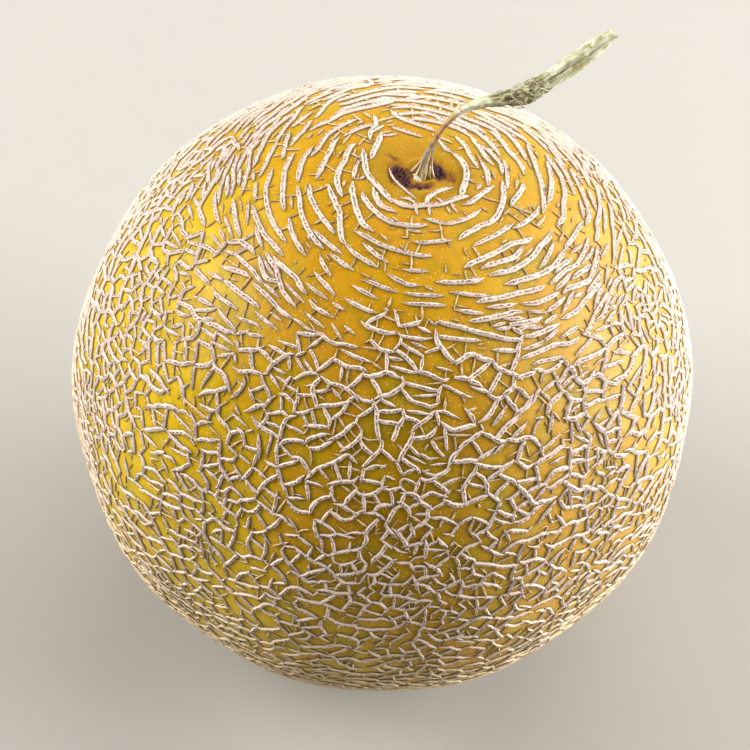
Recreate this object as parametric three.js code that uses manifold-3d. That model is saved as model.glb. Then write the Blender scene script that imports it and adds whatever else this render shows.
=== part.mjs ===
// A ripe netted cantaloupe melon, picked with its dried stalk, standing on its blossom end.
// Millimetres, +Z up. The origin is the middle of the flat spot that the fruit rests on, and the
// stalk grows from the top. A polar angle is measured from the stalk end, an azimuth from +X.
// The net is larger than life: about one mesh for every five of the real rind.
import * as THREE from "three";
import { ConvexHull } from "three/addons/math/ConvexHull.js";
import { mergeVertices } from "three/addons/utils/BufferGeometryUtils.js";
import Module from "manifold-3d";

// The fruit's body, without its net.
const FRUIT_DIAMETER = 149;
const FRUIT_HEIGHT = 148;
const FLAT_SPOT_RADIUS = 14.5;
const LOBE_COUNT = 10;
const LOBE_DEPTH = 0.5;
const LOBE_TURN = THREE.MathUtils.degToRad(11);
const BASIN_RADIUS = 11;
const BASIN_DEPTH = 1.4;

// The net: corky ridges round meshes that are drawn out into rings near both ends of the fruit.
const MESH_PITCH = 9.6;
const RIDGE_HALF_WIDTH = 1.5;
const RIDGE_HEIGHT = 1.6;
const RIDGE_HEIGHT_SPREAD = 0.5;
const RIDGE_CORNER_REACH = 1.15;
const MOST_INSET = 0.45;
const BARE_CROWN_RADIUS = 12.5;
const BARE_BLOSSOM_RADIUS = 12;
const CROWN_STRETCH = 1.5;
const BLOSSOM_STRETCH = 0.7;
const CROWN_RINGS_END = 46;
const BLOSSOM_RINGS_START = 140;
const STRETCH_FADE = 0.5;
const SHORT_EDGE = 1.3;
const LONG_EDGE = 10.5;
const EDGE_WOBBLE = 0.5;
const SITE_TRIES = 60000;
const SEED = 20817;

// The dry crack round the stalk's foot, which is also the socket that the foot stands in.
const SOCKET_RADIUS = 3.3;
const SOCKET_DEPTH = 3.4;
const CRACK_RADIUS = 5.6;
const CRACK_SIDES = 20;

// The stalk's middle line, from its foot just above the socket's floor to the cut end, and its
// half width there.
const STALK_ROUTE = [
  [0, 0, 142.1, 2.9],
  [0, 0, 145.6, 2.85],
  [0.3, 0, 149.2, 2.1],
  [1.3, -0.1, 154.2, 1.35],
  [3.1, -0.6, 160.4, 1.0],
  [5.9, 0.8, 164.1, 1.15],
  [9.3, 1.6, 166.1, 1.35],
  [13.1, 2.3, 167.8, 1.65],
  [17.0, 3.1, 169.1, 1.9],
  [21.6, 5.5, 171.5, 1.6],
  [27.0, 9.2, 175.0, 1.75],
  [31.3, 12.7, 178.0, 1.6],
  [33.7, 14.7, 179.6, 1.15],
];
const STALK_SIDES = 15;
const STALK_STEPS = 40;
const STALK_RIBS = 5;
const STALK_RIB_DEPTH = 0.13;
const STALK_FLATNESS = 0.16;
const STALK_TWIST = 2.6;

const BODY_RADIUS = FRUIT_DIAMETER / 2;
const BODY_HALF_HEIGHT = FRUIT_HEIGHT / 2;
// The body is cut off where it is as wide as the flat spot, so its middle stands this high.
const BODY_CENTRE_Z = BODY_HALF_HEIGHT * Math.sqrt(1 - (FLAT_SPOT_RADIUS / BODY_RADIUS) ** 2);

// A seeded generator of random numbers from 0 to 1.
function randomFrom(seed) {
  let state = seed >>> 0;
  return () => {
    state = (state + 0x6d2b79f5) >>> 0;
    let mixed = Math.imul(state ^ (state >>> 15), 1 | state);
    mixed = (mixed + Math.imul(mixed ^ (mixed >>> 7), 61 | mixed)) ^ mixed;
    return ((mixed ^ (mixed >>> 14)) >>> 0) / 4294967296;
  };
}

// The point of the rind at a polar angle and an azimuth, lifted off it by a height.
function rindPoint(polar, azimuth, lift) {
  const lobe = LOBE_DEPTH * Math.sin(polar) ** 2 * Math.cos(LOBE_COUNT * (azimuth - LOBE_TURN));
  const fromStalk = BODY_RADIUS * polar;
  const basin = BASIN_DEPTH * Math.exp(-((fromStalk / BASIN_RADIUS) ** 2));
  const around = (BODY_RADIUS + lobe + lift) * Math.sin(polar);
  const height = BODY_CENTRE_Z + (BODY_HALF_HEIGHT + lift) * Math.cos(polar) - basin;
  return new THREE.Vector3(
    around * Math.cos(azimuth),
    around * Math.sin(azimuth),
    Math.max(height, 0),
  );
}

// How far a mesh of the net is drawn out round the fruit, as a share added to its roundness,
// where the polar angle's Mercator latitude is v. It fades in towards each end.
const latitudeOf = (polar) => Math.log(Math.tan(polar / 2));
const CROWN_LATITUDE = latitudeOf(THREE.MathUtils.degToRad(CROWN_RINGS_END));
const BLOSSOM_LATITUDE = latitudeOf(THREE.MathUtils.degToRad(BLOSSOM_RINGS_START));

function stretchAt(v) {
  const crown = (1 - Math.tanh((v - CROWN_LATITUDE) / STRETCH_FADE)) / 2;
  const blossom = (1 + Math.tanh((v - BLOSSOM_LATITUDE) / STRETCH_FADE)) / 2;
  return 1 + CROWN_STRETCH * crown + BLOSSOM_STRETCH * blossom;
}

// The integral of stretchAt: on a sphere with these latitudes the drawn-out meshes are round,
// so that an ordinary Voronoi diagram there gives rings of long meshes on the fruit.
function stretchedLatitude(v) {
  const logCosh = (x) => Math.log(Math.cosh(x));
  const crown = v - STRETCH_FADE * logCosh((v - CROWN_LATITUDE) / STRETCH_FADE);
  const blossom = v + STRETCH_FADE * logCosh((v - BLOSSOM_LATITUDE) / STRETCH_FADE);
  return v + (CROWN_STRETCH * crown + BLOSSOM_STRETCH * blossom) / 2;
}
const LATITUDE_SHIFT = stretchedLatitude(0);

function toStretchedSphere(site) {
  const polar = 2 * Math.atan(Math.exp(stretchedLatitude(latitudeOf(site.polar)) - LATITUDE_SHIFT));
  return new THREE.Vector3().setFromSphericalCoords(1, polar, site.azimuth);
}

function fromStretchedSphere(direction) {
  const wanted = latitudeOf(Math.acos(direction.y / direction.length())) + LATITUDE_SHIFT;
  let low = -12;
  let high = 12;
  for (let step = 0; step < 50; step++) {
    const middle = (low + high) / 2;
    if (stretchedLatitude(middle) < wanted) low = middle;
    else high = middle;
  }
  return { polar: 2 * Math.atan(Math.exp(low)), azimuth: Math.atan2(direction.x, direction.z) };
}

// The middles of the net's meshes: one at each end, and seeded random ones that keep their
// distance from each other, measured along the way in which the meshes are drawn out.
function meshSites() {
  const random = randomFrom(SEED);
  const nearPole = 1e-4;
  const sites = [{ polar: nearPole, azimuth: 0 }, { polar: Math.PI - nearPole, azimuth: 0 }];
  const crownStretch = 1 + CROWN_STRETCH;
  const blossomStretch = 1 + BLOSSOM_STRETCH;
  const firstPolar = (BARE_CROWN_RADIUS / BODY_RADIUS) * 2 ** (1 / crownStretch);
  const lastPolar = Math.PI - (BARE_BLOSSOM_RADIUS / BODY_RADIUS) * 2 ** (1 / blossomStretch);
  for (let tries = 0; tries < SITE_TRIES; tries++) {
    const polar = Math.acos(1 - 2 * random());
    const azimuth = 2 * Math.PI * random();
    if (polar < firstPolar || polar > lastPolar) continue;
    const stretch = Math.sqrt(stretchAt(latitudeOf(polar)));
    const tooClose = sites.some((site, index) => {
      if (index < 2) return false;
      const along = (site.polar - polar) * BODY_RADIUS * stretch;
      if (Math.abs(along) > MESH_PITCH) return false;
      const turn = Math.atan2(Math.sin(site.azimuth - azimuth), Math.cos(site.azimuth - azimuth));
      const across = (turn * Math.sin((site.polar + polar) / 2) * BODY_RADIUS) / stretch;
      return Math.hypot(along, across) < MESH_PITCH;
    });
    if (!tooClose) sites.push({ polar, azimuth });
  }
  return sites;
}

// The net's knots and, for each site, the loop of knots round its mesh, anticlockwise from outside.
function netLoops(sites) {
  const points = sites.map(toStretchedSphere);
  const siteOf = new Map(points.map((point, index) => [point, index]));
  const hull = new ConvexHull().setFromPoints(points);
  const knots = hull.faces.map((face) => fromStretchedSphere(face.normal));
  const knotOf = new Map(hull.faces.map((face, index) => [face, index]));
  const position = knots.map((knot) => rindPoint(knot.polar, knot.azimuth, 0));

  // Knots that nearly touch become one.
  const same = knots.map((_, index) => index);
  const rootOf = (index) => (same[index] === index ? index : rootOf(same[index]));
  const loops = sites.map(() => null);
  for (const face of hull.faces) {
    for (let corner = 0; corner < 3; corner++) {
      const start = face.getEdge(corner);
      const a = rootOf(knotOf.get(face));
      const b = rootOf(knotOf.get(start.twin.face));
      if (a !== b && position[a].distanceTo(position[b]) < SHORT_EDGE) same[b] = a;
      const site = siteOf.get(start.head().point);
      if (loops[site]) continue;
      loops[site] = [];
      let edge = start;
      do {
        loops[site].push(knotOf.get(edge.face));
        edge = edge.twin.prev;
      } while (edge !== start);
    }
  }
  const merged = loops.map((loop) => {
    const roots = loop.map(rootOf);
    return roots.filter((knot, index) => knot !== roots[(index + 1) % roots.length]);
  });
  return { knots, loops: merged };
}

// Gives each long edge of the net a knot in its middle, a little off the straight line.
function bendLongEdges({ knots, loops }) {
  const random = randomFrom(SEED + 1);
  const middleOf = new Map();
  const bent = loops.map((loop) =>
    loop.flatMap((from, index) => {
      const to = loop[(index + 1) % loop.length];
      const key = Math.min(from, to) + "-" + Math.max(from, to);
      if (!middleOf.has(key)) {
        const a = rindPoint(knots[from].polar, knots[from].azimuth, 0);
        const b = rindPoint(knots[to].polar, knots[to].azimuth, 0);
        if (a.distanceTo(b) > LONG_EDGE) {
          const middle = toStretchedSphere(knots[from]).add(toStretchedSphere(knots[to]));
          const knot = fromStretchedSphere(middle.normalize());
          knot.polar += ((random() - 0.5) * EDGE_WOBBLE) / BODY_RADIUS;
          knots.push(knot);
          middleOf.set(key, knots.length - 1);
        } else {
          middleOf.set(key, null);
        }
      }
      const middle = middleOf.get(key);
      return middle === null ? [from] : [from, middle];
    }),
  );
  return { knots, loops: bent };
}

// The closed surface of the fruit: each mesh of the net has a floor, and a slope on each side
// up to the crest that it shares with its neighbour.
function nettedRind() {
  const random = randomFrom(SEED + 2);
  const { knots, loops } = bendLongEdges(netLoops(meshSites()));
  const crest = knots.map(({ polar, azimuth }) => {
    const height = RIDGE_HEIGHT - RIDGE_HEIGHT_SPREAD * random();
    return rindPoint(polar, azimuth, height);
  });
  const centre = new THREE.Vector3(0, 0, BODY_CENTRE_Z);
  const places = [];
  const face = (...corners) => corners.forEach((corner) => places.push(corner.x, corner.y, corner.z));
  for (const loop of loops) {
    const rim = loop.map((knot) => rindPoint(knots[knot].polar, knots[knot].azimuth, 0));
    const middle = rim.reduce((sum, corner) => sum.add(corner), new THREE.Vector3());
    middle.divideScalar(rim.length);
    const reach = rim.reduce((sum, corner) => sum + corner.distanceTo(middle), 0) / rim.length;
    const inset = Math.min((RIDGE_CORNER_REACH * RIDGE_HALF_WIDTH) / reach, MOST_INSET);
    const floor = rim.map((corner) => {
      const inner = corner.clone().lerp(middle, inset).sub(centre);
      const polar = Math.acos(inner.z / inner.length());
      return rindPoint(polar, Math.atan2(inner.y, inner.x), 0);
    });
    for (let index = 0; index < loop.length; index++) {
      const next = (index + 1) % loop.length;
      face(crest[loop[index]], crest[loop[next]], floor[next]);
      face(crest[loop[index]], floor[next], floor[index]);
      if (index > 1) face(floor[0], floor[index - 1], floor[index]);
    }
  }
  const geometry = new THREE.BufferGeometry();
  geometry.setAttribute("position", new THREE.Float32BufferAttribute(places, 3));
  return geometry;
}

// The space that the stalk's foot stands in, which opens out into the dry crack round it.
function crackCutter() {
  const rindTop = rindPoint(0, 0, 0).z;
  const above = rindTop + 4;
  const profile = [
    [0, rindTop - SOCKET_DEPTH],
    [SOCKET_RADIUS, rindTop - SOCKET_DEPTH],
    [SOCKET_RADIUS + 0.3, rindTop - SOCKET_DEPTH / 2],
    [CRACK_RADIUS, rindTop + 0.4],
    [CRACK_RADIUS + 0.5, above],
    [0, above],
  ];
  const points = profile.map(([radius, height]) => new THREE.Vector2(radius, height));
  return new THREE.LatheGeometry(points, CRACK_SIDES).rotateX(Math.PI / 2);
}

// The fruit's solid: the netted rind with the crack cut into its top.
async function fruitGeometry() {
  const wasm = await Module();
  wasm.setup();
  const solidOf = (geometry) => {
    geometry.deleteAttribute("normal");
    geometry.deleteAttribute("uv");
    const merged = mergeVertices(geometry, 1e-3);
    const vertProperties = merged.attributes.position.array;
    const triVerts = new Uint32Array(merged.index.array);
    return new wasm.Manifold(new wasm.Mesh({ numProp: 3, vertProperties, triVerts }));
  };
  const cut = solidOf(nettedRind()).subtract(solidOf(crackCutter())).getMesh();
  const geometry = new THREE.BufferGeometry();
  geometry.setAttribute("position", new THREE.BufferAttribute(cut.vertProperties, 3));
  geometry.setIndex(new THREE.BufferAttribute(cut.triVerts, 1));
  return geometry;
}

// The dried stalk: ribbed, slightly flattened sections along its route, closed at both ends.
function stalkGeometry() {
  const route = new THREE.CatmullRomCurve3(
    STALK_ROUTE.map(([x, y, z]) => new THREE.Vector3(x, y, z)),
    false,
    "centripetal",
  );
  const widths = new THREE.SplineCurve(STALK_ROUTE.map((row, index) => new THREE.Vector2(index, row[3])));
  const frames = route.computeFrenetFrames(STALK_STEPS, false);
  const rings = [];
  for (let step = 0; step <= STALK_STEPS; step++) {
    const along = step / STALK_STEPS;
    const parameter = route.getUtoTmapping(along);
    const middle = route.getPoint(parameter);
    const halfWidth = widths.getPoint(parameter).y;
    // The foot is round, and the ribs and the flattening come in above it.
    const dried = THREE.MathUtils.smoothstep(along, 0.05, 0.2);
    const ring = [];
    for (let side = 0; side < STALK_SIDES; side++) {
      const angle = (2 * Math.PI * side) / STALK_SIDES;
      const rib = STALK_RIB_DEPTH * Math.cos(STALK_RIBS * angle);
      const flat = STALK_FLATNESS * Math.cos(2 * (angle - STALK_TWIST * along));
      const radius = halfWidth * (1 + dried * (rib + flat));
      ring.push(
        middle
          .clone()
          .addScaledVector(frames.normals[step], radius * Math.cos(angle))
          .addScaledVector(frames.binormals[step], radius * Math.sin(angle)),
      );
    }
    rings.push(ring);
  }
  return loft(rings);
}

// A closed surface through rings of points, each with the same number of points.
function loft(rings) {
  const sides = rings[0].length;
  const places = rings.flat().flatMap((point) => [point.x, point.y, point.z]);
  const corners = [];
  for (let ring = 0; ring + 1 < rings.length; ring++) {
    for (let side = 0; side < sides; side++) {
      const next = (side + 1) % sides;
      const low = ring * sides;
      const high = low + sides;
      corners.push(low + side, low + next, high + next, low + side, high + next, high + side);
    }
  }
  const last = (rings.length - 1) * sides;
  for (let side = 1; side + 1 < sides; side++) {
    corners.push(0, side + 1, side, last, last + side, last + side + 1);
  }
  const geometry = new THREE.BufferGeometry();
  geometry.setAttribute("position", new THREE.Float32BufferAttribute(places, 3));
  geometry.setIndex(corners);
  return geometry;
}

const rindMaterial = new THREE.MeshStandardMaterial({ color: 0xc79a2b, roughness: 0.55, metalness: 0 });
const stalkMaterial = new THREE.MeshStandardMaterial({ color: 0xb9b48a, roughness: 0.85, metalness: 0 });

const melon = new THREE.Group();

const fruit = new THREE.Mesh(await fruitGeometry(), rindMaterial);
fruit.name = "netted_fruit";
melon.add(fruit);

const stalk = new THREE.Mesh(stalkGeometry(), stalkMaterial);
stalk.name = "dry_stalk";
melon.add(stalk);

export default melon;
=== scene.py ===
"""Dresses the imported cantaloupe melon: rind, corky net, dry stalk, stage and camera."""
import math
import random

import bmesh
import bpy
import numpy as np
from mathutils import Matrix, Vector
from mathutils.kdtree import KDTree


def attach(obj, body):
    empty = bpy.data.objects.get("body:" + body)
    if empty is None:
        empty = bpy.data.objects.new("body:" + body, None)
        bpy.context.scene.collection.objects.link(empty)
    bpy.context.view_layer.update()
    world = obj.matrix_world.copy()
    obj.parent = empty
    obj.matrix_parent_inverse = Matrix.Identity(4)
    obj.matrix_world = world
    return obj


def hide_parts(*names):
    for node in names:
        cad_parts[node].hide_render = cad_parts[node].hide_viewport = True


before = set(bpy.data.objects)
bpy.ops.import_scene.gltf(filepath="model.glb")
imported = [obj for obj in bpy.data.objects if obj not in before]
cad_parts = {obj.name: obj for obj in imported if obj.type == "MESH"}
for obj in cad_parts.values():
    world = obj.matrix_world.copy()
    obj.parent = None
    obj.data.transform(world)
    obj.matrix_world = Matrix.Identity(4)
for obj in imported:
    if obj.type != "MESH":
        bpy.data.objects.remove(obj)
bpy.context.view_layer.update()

bl_info = {
    "name": "Netted melon",
    "version": (1, 0, 0),
    "blender": (4, 5, 0),
    "location": "3D View > Sidebar > Melon",
    "description": "Builds the rind, the grown net and the dry stalk of a cantaloupe melon",
    "category": "Object",
}

MM = 0.001
TURN = 2 * math.pi
LOOKED_AT = Vector((0, 0, 0.0726))  # the middle of the fruit, for the lamps and the camera


# Small helpers -----------------------------------------------------------------------------


def smooth_step(low, high, value):
    """A soft step from 0 at low to 1 at high, for a number or an array."""
    share = np.clip((value - low) / (high - low), 0.0, 1.0)
    return share * share * (3 - 2 * share)


def ease(low, high, value):
    """The same soft step for one plain number, which is quicker."""
    share = min(max((value - low) / (high - low), 0.0), 1.0)
    return share * share * (3 - 2 * share)


def turn_between(a, b):
    """The signed turn from angle b to angle a."""
    return math.atan2(math.sin(a - b), math.cos(a - b))


def direction_at(polar, azimuth):
    """The unit vector at an angle from the stalk end and an angle round the fruit."""
    flat = math.sin(polar)
    return (flat * math.cos(azimuth), flat * math.sin(azimuth), math.cos(polar))


def frame_at(polar, azimuth):
    """Unit vectors round the fruit and from the stalk end towards the blossom end."""
    east = (-math.sin(azimuth), math.cos(azimuth), 0.0)
    high = math.cos(polar)
    south = (high * math.cos(azimuth), high * math.sin(azimuth), -math.sin(polar))
    return east, south


class Waves:
    """A smooth random value over the fruit, added up from waves in random directions."""

    def __init__(self, draw, count, shortest, longest, radius):
        self.rows = []
        for _ in range(count):
            way = [draw.gauss(0, 1) for _ in range(3)]
            size = math.sqrt(sum(value * value for value in way))
            bend = TURN * radius / draw.uniform(shortest, longest)
            self.rows.append([value / size * bend for value in way] + [draw.uniform(0, TURN)])
        self.scale = math.sqrt(2 / count)

    def at(self, p):
        """The value at one unit vector, mostly between -1 and 1."""
        x, y, z = p
        return self.scale * sum(math.sin(x * a + y * b + z * c + d) for a, b, c, d in self.rows)

    def over(self, points):
        """The values at an array of unit vectors."""
        total = np.zeros(len(points))
        for a, b, c, d in self.rows:
            total += np.sin(points @ np.array([a, b, c]) + d)
        return self.scale * total


class Shape:
    """The fruit's body in millimetres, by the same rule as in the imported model."""

    def __init__(self, settings):
        self.radius = settings.diameter / 2 / MM
        self.half_height = settings.height / 2 / MM
        self.flat_radius = settings.flat_spot / 2 / MM
        self.lobe = settings.lobe_depth / MM
        self.lobes = settings.lobes
        self.lobe_turn = settings.lobe_turn
        self.basin_radius = settings.basin_radius / MM
        self.basin_depth = settings.basin_depth / MM
        self.middle = self.half_height * math.sqrt(1 - (self.flat_radius / self.radius) ** 2)

    def points(self, polar, azimuth, lift=0.0):
        """Points of the rind at arrays of angles, lifted off it by a height."""
        lobe = self.lobe * np.sin(polar) ** 2 * np.cos(self.lobes * (azimuth - self.lobe_turn))
        basin = self.basin_depth * np.exp(-((self.radius * polar / self.basin_radius) ** 2))
        around = (self.radius + lobe + lift) * np.sin(polar)
        height = self.middle + (self.half_height + lift) * np.cos(polar) - basin
        places = [around * np.cos(azimuth), around * np.sin(azimuth), np.maximum(height, 0.0)]
        return np.stack(places, axis=-1)

    def normals(self, polar, azimuth):
        """Unit vectors that stand on the rind there, the lobes apart."""
        basin = self.basin_depth * np.exp(-((self.radius * polar / self.basin_radius) ** 2))
        steepness = basin * 2 * polar * (self.radius / self.basin_radius) ** 2
        slope = -self.half_height * np.sin(polar) + steepness
        run = self.radius * np.cos(polar)
        size = np.hypot(slope, run)
        parts = [-slope / size * np.cos(azimuth), -slope / size * np.sin(azimuth), run / size]
        return np.stack(parts, axis=-1)


def spline_through(rows, pieces=12):
    """Rows along a smooth curve through given rows, so many for each stretch."""
    rows = np.asarray(rows, dtype=float)
    padded = np.vstack([2 * rows[0] - rows[1], rows, 2 * rows[-1] - rows[-2]])
    a, b, c, d = (padded[number:number + len(rows) - 1, None] for number in range(4))
    t = np.linspace(0, 1, pieces, endpoint=False)[None, :, None]
    fine = 2 * b + (c - a) * t + (2 * a - 5 * b + 4 * c - d) * t * t
    fine = 0.5 * (fine + (3 * b - a - 3 * c + d) * t ** 3)
    return np.vstack([fine.reshape(-1, rows.shape[1]), rows[-1:]])


def evenly(rows, step=None, count=None):
    """Rows at even steps along a line; the first three columns are a place."""
    gone = np.concatenate([[0], np.cumsum(np.linalg.norm(np.diff(rows[:, :3], axis=0), axis=1))])
    count = count or max(int(round(gone[-1] / step)), 1) + 1
    even = np.linspace(0, gone[-1], count)
    return np.stack([np.interp(even, gone, column) for column in rows.T], axis=1)


def ball_triangles(points):
    """The triangles that join points on a ball to their neighbours: the faces of their hull."""
    hull = bmesh.new()
    for point in points:
        hull.verts.new(point)
    hull.verts.index_update()
    bmesh.ops.convex_hull(hull, input=list(hull.verts))
    triangles = np.array([[vert.index for vert in face.verts] for face in hull.faces])
    hull.free()
    return triangles


def unit(vectors):
    """Vectors scaled to a length of one."""
    return vectors / np.linalg.norm(vectors, axis=-1, keepdims=True)


def cell_corners(points, triangles):
    """The corner of the cells round each triangle: the place as far from all its three points."""
    a, b, c = points[triangles].transpose(1, 0, 2)
    corners = unit(np.cross(b - a, c - a))
    return corners * np.sign(np.einsum("ij,ij->i", corners, a))[:, None]


# The net's growth --------------------------------------------------------------------------

# The ridges next to the stalk: a width, then distances from its middle in millimetres with angles
# in degrees.
CROWN_RIDGES = [
    (0.95, [(14.6, 135), (12.9, 144), (11.7, 160), (11.4, 175)]),
    (1.0, [(14.1, 163), (12.6, 179), (11.9, 198), (11.0, 219), (11.1, 233), (11.9, 246)]),
    (1.0, [(11.4, 240), (11.3, 256), (11.0, 267), (10.2, 281), (10.2, 295), (10.1, 310), (10.4, 323),
           (11.9, 337)]),
    (0.6, [(9.9, 248), (9.1, 262), (10.3, 272)]),
    (0.85, [(10.2, 284), (8.2, 286), (6.9, 299), (6.7, 319), (7.8, 336)]),
    (1.0, [(9.6, 51), (9.9, 34), (9.9, 16), (9.7, 357), (9.9, 341), (10.9, 329)]),
    (0.8, [(11.4, 79), (10.2, 70), (9.4, 60), (9.6, 50)]),
    (0.8, [(14.6, 66), (13.6, 52), (12.8, 42), (12.6, 30), (12.9, 20)]),
    (0.9, [(17.4, 58), (16.3, 44), (15.9, 33), (16.7, 24)]),
    (0.9, [(14.2, 30), (14.5, 18), (14.6, 8), (14.7, 359)]),
    (0.9, [(22.1, 115), (18.9, 114), (16.1, 106), (14.6, 95), (13.7, 84)]),
    (0.75, [(15.0, 123), (13.4, 117), (11.9, 108), (10.8, 97)]),
    (0.6, [(13.8, 139), (12.8, 131), (12.5, 123)]),
    (0.8, [(21.5, 127), (18.2, 131), (16.7, 139), (15.4, 145), (14.3, 150)]),
    (0.7, [(16.4, 128), (16.1, 137), (15.9, 144)]),
    (0.36, [(7.1, 186), (6.8, 199), (6.7, 212), (6.6, 227), (6.9, 245), (7.7, 261), (8.5, 270)]),
    (0.85, [(12.4, 322), (13.1, 331), (13.5, 341), (14.6, 353), (15.9, 361)]),
    (0.6, [(12.5, 350), (13.2, 359)]),
    (0.45, [(10.9, 270), (13.1, 274)]),
    (0.45, [(10.2, 286), (12.9, 285)]),
    (0.45, [(10.2, 313), (13.6, 312)]),
    (0.42, [(8.0, 299), (10.1, 307)]),
    (0.5, [(9.9, 2), (12.0, 358)]),
    (0.5, [(11.9, 198), (13.6, 203), (15.2, 201)]),
    (0.42, [(11.8, 176), (13.8, 181)]),
]


class Net:
    """Cracks that grow over the rind as the cork does: each tip runs on until it meets another.

    Lengths are in millimetres. A crack is a list of polar and azimuth angles."""

    STEP = 0.45  # between two places of a crack
    CELL = 2.0  # the size of a cell of the hash of places, and the farthest look ahead
    WIDE_CELL = 6.5  # the same for every third place
    TOUCH = 0.4  # how near a tip comes to the crack that it joins
    EXTRA = 2.4  # how much farther than its length a tip runs to reach a crack ahead
    SHARPEST = 0.2  # the sharpest bend at one step, in radians
    LEAST_MEAN = 4.6  # the least mean length of the filling cracks
    LENGTHWISE_MEAN = 5.0  # the greatest one of those that cross the rings
    FILLING = [  # tries, angles from the stalk, crowding, mean length, widths, clearance, crossing
        (1600, (0, 0.95), 1.15, 11.5, (0.85, 1.0), 0.85, 0.04),
        (7000, (0, 0.95), 0.86, 7.5, (0.7, 0.95), 0.78, 0.08),
        (22000, (0.5, 1.2), 0.57, 4.6, (0.6, 0.9), 0.72, 0.12),
        (9000, (1.1, math.pi), 0.72, 4.6, (0.55, 0.85), 0.75, 0.2),
    ]

    def __init__(self, settings, shape):
        self.draw = random.Random(settings.seed)
        self.radius = shape.radius
        self.lobes = shape.lobes
        self.valley = shape.lobe_turn + math.pi / shape.lobes
        self.scale = settings.mesh_scale
        self.width = settings.ridge_width / 2 / MM
        self.lean = Waves(self.draw, 9, 26, 60, self.radius)
        self.dense = Waves(self.draw, 9, 14, 34, self.radius)
        self.edge = Waves(self.draw, 7, 12, 30, self.radius)
        self.cells = {}
        self.wide_cells = {}
        self.cracks = []

    def suture(self, polar, azimuth):
        """How much a place lies in one of the lengthwise bands between the lobes."""
        wobble = 0.09 * math.sin(3 * polar + 5 * azimuth)
        away = abs(turn_between(self.lobes * (azimuth - self.valley + wobble), 0)) / self.lobes
        return (1 - ease(0.05, 0.20, away)) * ease(0.45, 0.8, polar) * (1 - ease(2.3, 2.8, polar))

    def bare(self, polar, azimuth):
        """Whether a place is kept free of net: the disc round the stalk and the flat spot."""
        near_stalk = self.radius * polar
        near_blossom = self.radius * (math.pi - polar)
        if near_stalk > 16 and near_blossom > 18:  # clear of both, however uneven their edges
            return False
        uneven = self.edge.at(direction_at(polar, azimuth))
        crown = 10.6 - 1.6 * math.cos(azimuth) + 1.5 * math.sin(azimuth)
        return near_stalk < crown + 0.5 * uneven or near_blossom < 15.2 + 0.8 * uneven

    def ring_like(self, polar):
        """1 where the cracks run in rings round the stalk, less where they run more freely."""
        return 1 - 0.95 * ease(0.45, 1.1, polar) * (1 - 0.75 * ease(2.2, 2.75, polar))

    def heading(self, polar, azimuth, lengthwise):
        """A likely direction for a crack, as an angle from the way round the fruit."""
        free = 1 - self.ring_like(polar)
        spread = math.radians(10 + 10 * free)
        lean = math.radians(10 + 12 * free) * self.lean.at(direction_at(polar, azimuth))
        if lengthwise:
            return math.pi / 2 + 0.4 * lean + self.draw.gauss(0, 0.75 * spread)
        return lean + self.draw.gauss(0, spread)

    def front(self, polar, azimuth):
        """1 at the front below the crown, where the ridges are finer, and 0 elsewhere."""
        return max(-math.sin(azimuth + 0.15), 0) ** 5 * ease(0.22, 0.42, polar)

    def stout(self, polar, azimuth):
        """How broad the ridges are: broader high up, except at the front, and narrower low down."""
        high = 0.24 * (1 - ease(0.95, 1.5, polar)) * (1 - self.front(polar, azimuth))
        return 1 + high - 0.13 * ease(1.2, 1.7, polar)

    def spacing(self, polar, azimuth):
        """How far apart the main cracks lie there."""
        ring = self.ring_like(polar)
        uneven = 1 + 0.13 * self.dense.at(direction_at(polar, azimuth))
        return self.scale * (3.55 - 0.95 * ring) * uneven * (1 - 0.26 * self.suture(polar, azimuth))

    def add(self, polar, azimuth, number, angle, index):
        """Puts one point of a crack into the hash of places."""
        place = [value * self.radius for value in direction_at(polar, azimuth)]
        east, south = frame_at(polar, azimuth)
        way = [math.cos(angle) * east[n] + math.sin(angle) * south[n] for n in range(3)]
        row = (*place, number, polar, azimuth, *way)
        self.cells.setdefault(tuple(int(value // self.CELL) for value in place), []).append(row)
        if index % 3 == 0:
            key = tuple(int(value // self.WIDE_CELL) for value in place)
            self.wide_cells.setdefault(key, []).append(row)

    def around(self, cells, size, place):
        """The rows of the cells next to a place."""
        i, j, k = (int(value // size) for value in place)
        for a in (i - 1, i, i + 1):
            for b in (j - 1, j, j + 1):
                for c in (k - 1, k, k + 1):
                    rows = cells.get((a, b, c))
                    if rows:
                        yield from rows

    def near(self, p, reach, own=-1):
        """Points of other cracks within a reach, at most one cell, of a unit vector."""
        x, y, z = (value * self.radius for value in p)
        limit = reach * reach
        found = []
        for row in self.around(self.cells, self.CELL, (x, y, z)):
            if row[3] != own:
                dx, dy, dz = row[0] - x, row[1] - y, row[2] - z
                far = dx * dx + dy * dy + dz * dz
                if far < limit:
                    found.append((math.sqrt(far), dx, dy, dz, row))
        return found

    def crowded(self, polar, azimuth, gap, longer, cells=None):
        """Whether something lies within a gap, which is longer along the rings than across them."""
        x, y, z = (value * self.radius for value in direction_at(polar, azimuth))
        east, south = frame_at(polar, azimuth)
        limit = gap * gap
        for row in self.around(self.wide_cells if cells is None else cells, self.WIDE_CELL, (x, y, z)):
            dx, dy, dz = row[0] - x, row[1] - y, row[2] - z
            along = (dx * east[0] + dy * east[1] + dz * east[2]) / longer
            across = dx * south[0] + dy * south[1] + dz * south[2]
            if along * along + across * across < limit:
                return True
        return False

    def way_of(self, polar, azimuth, angle):
        """The unit vector of a heading."""
        east, south = frame_at(polar, azimuth)
        return [math.cos(angle) * east[n] + math.sin(angle) * south[n] for n in range(3)]

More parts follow.
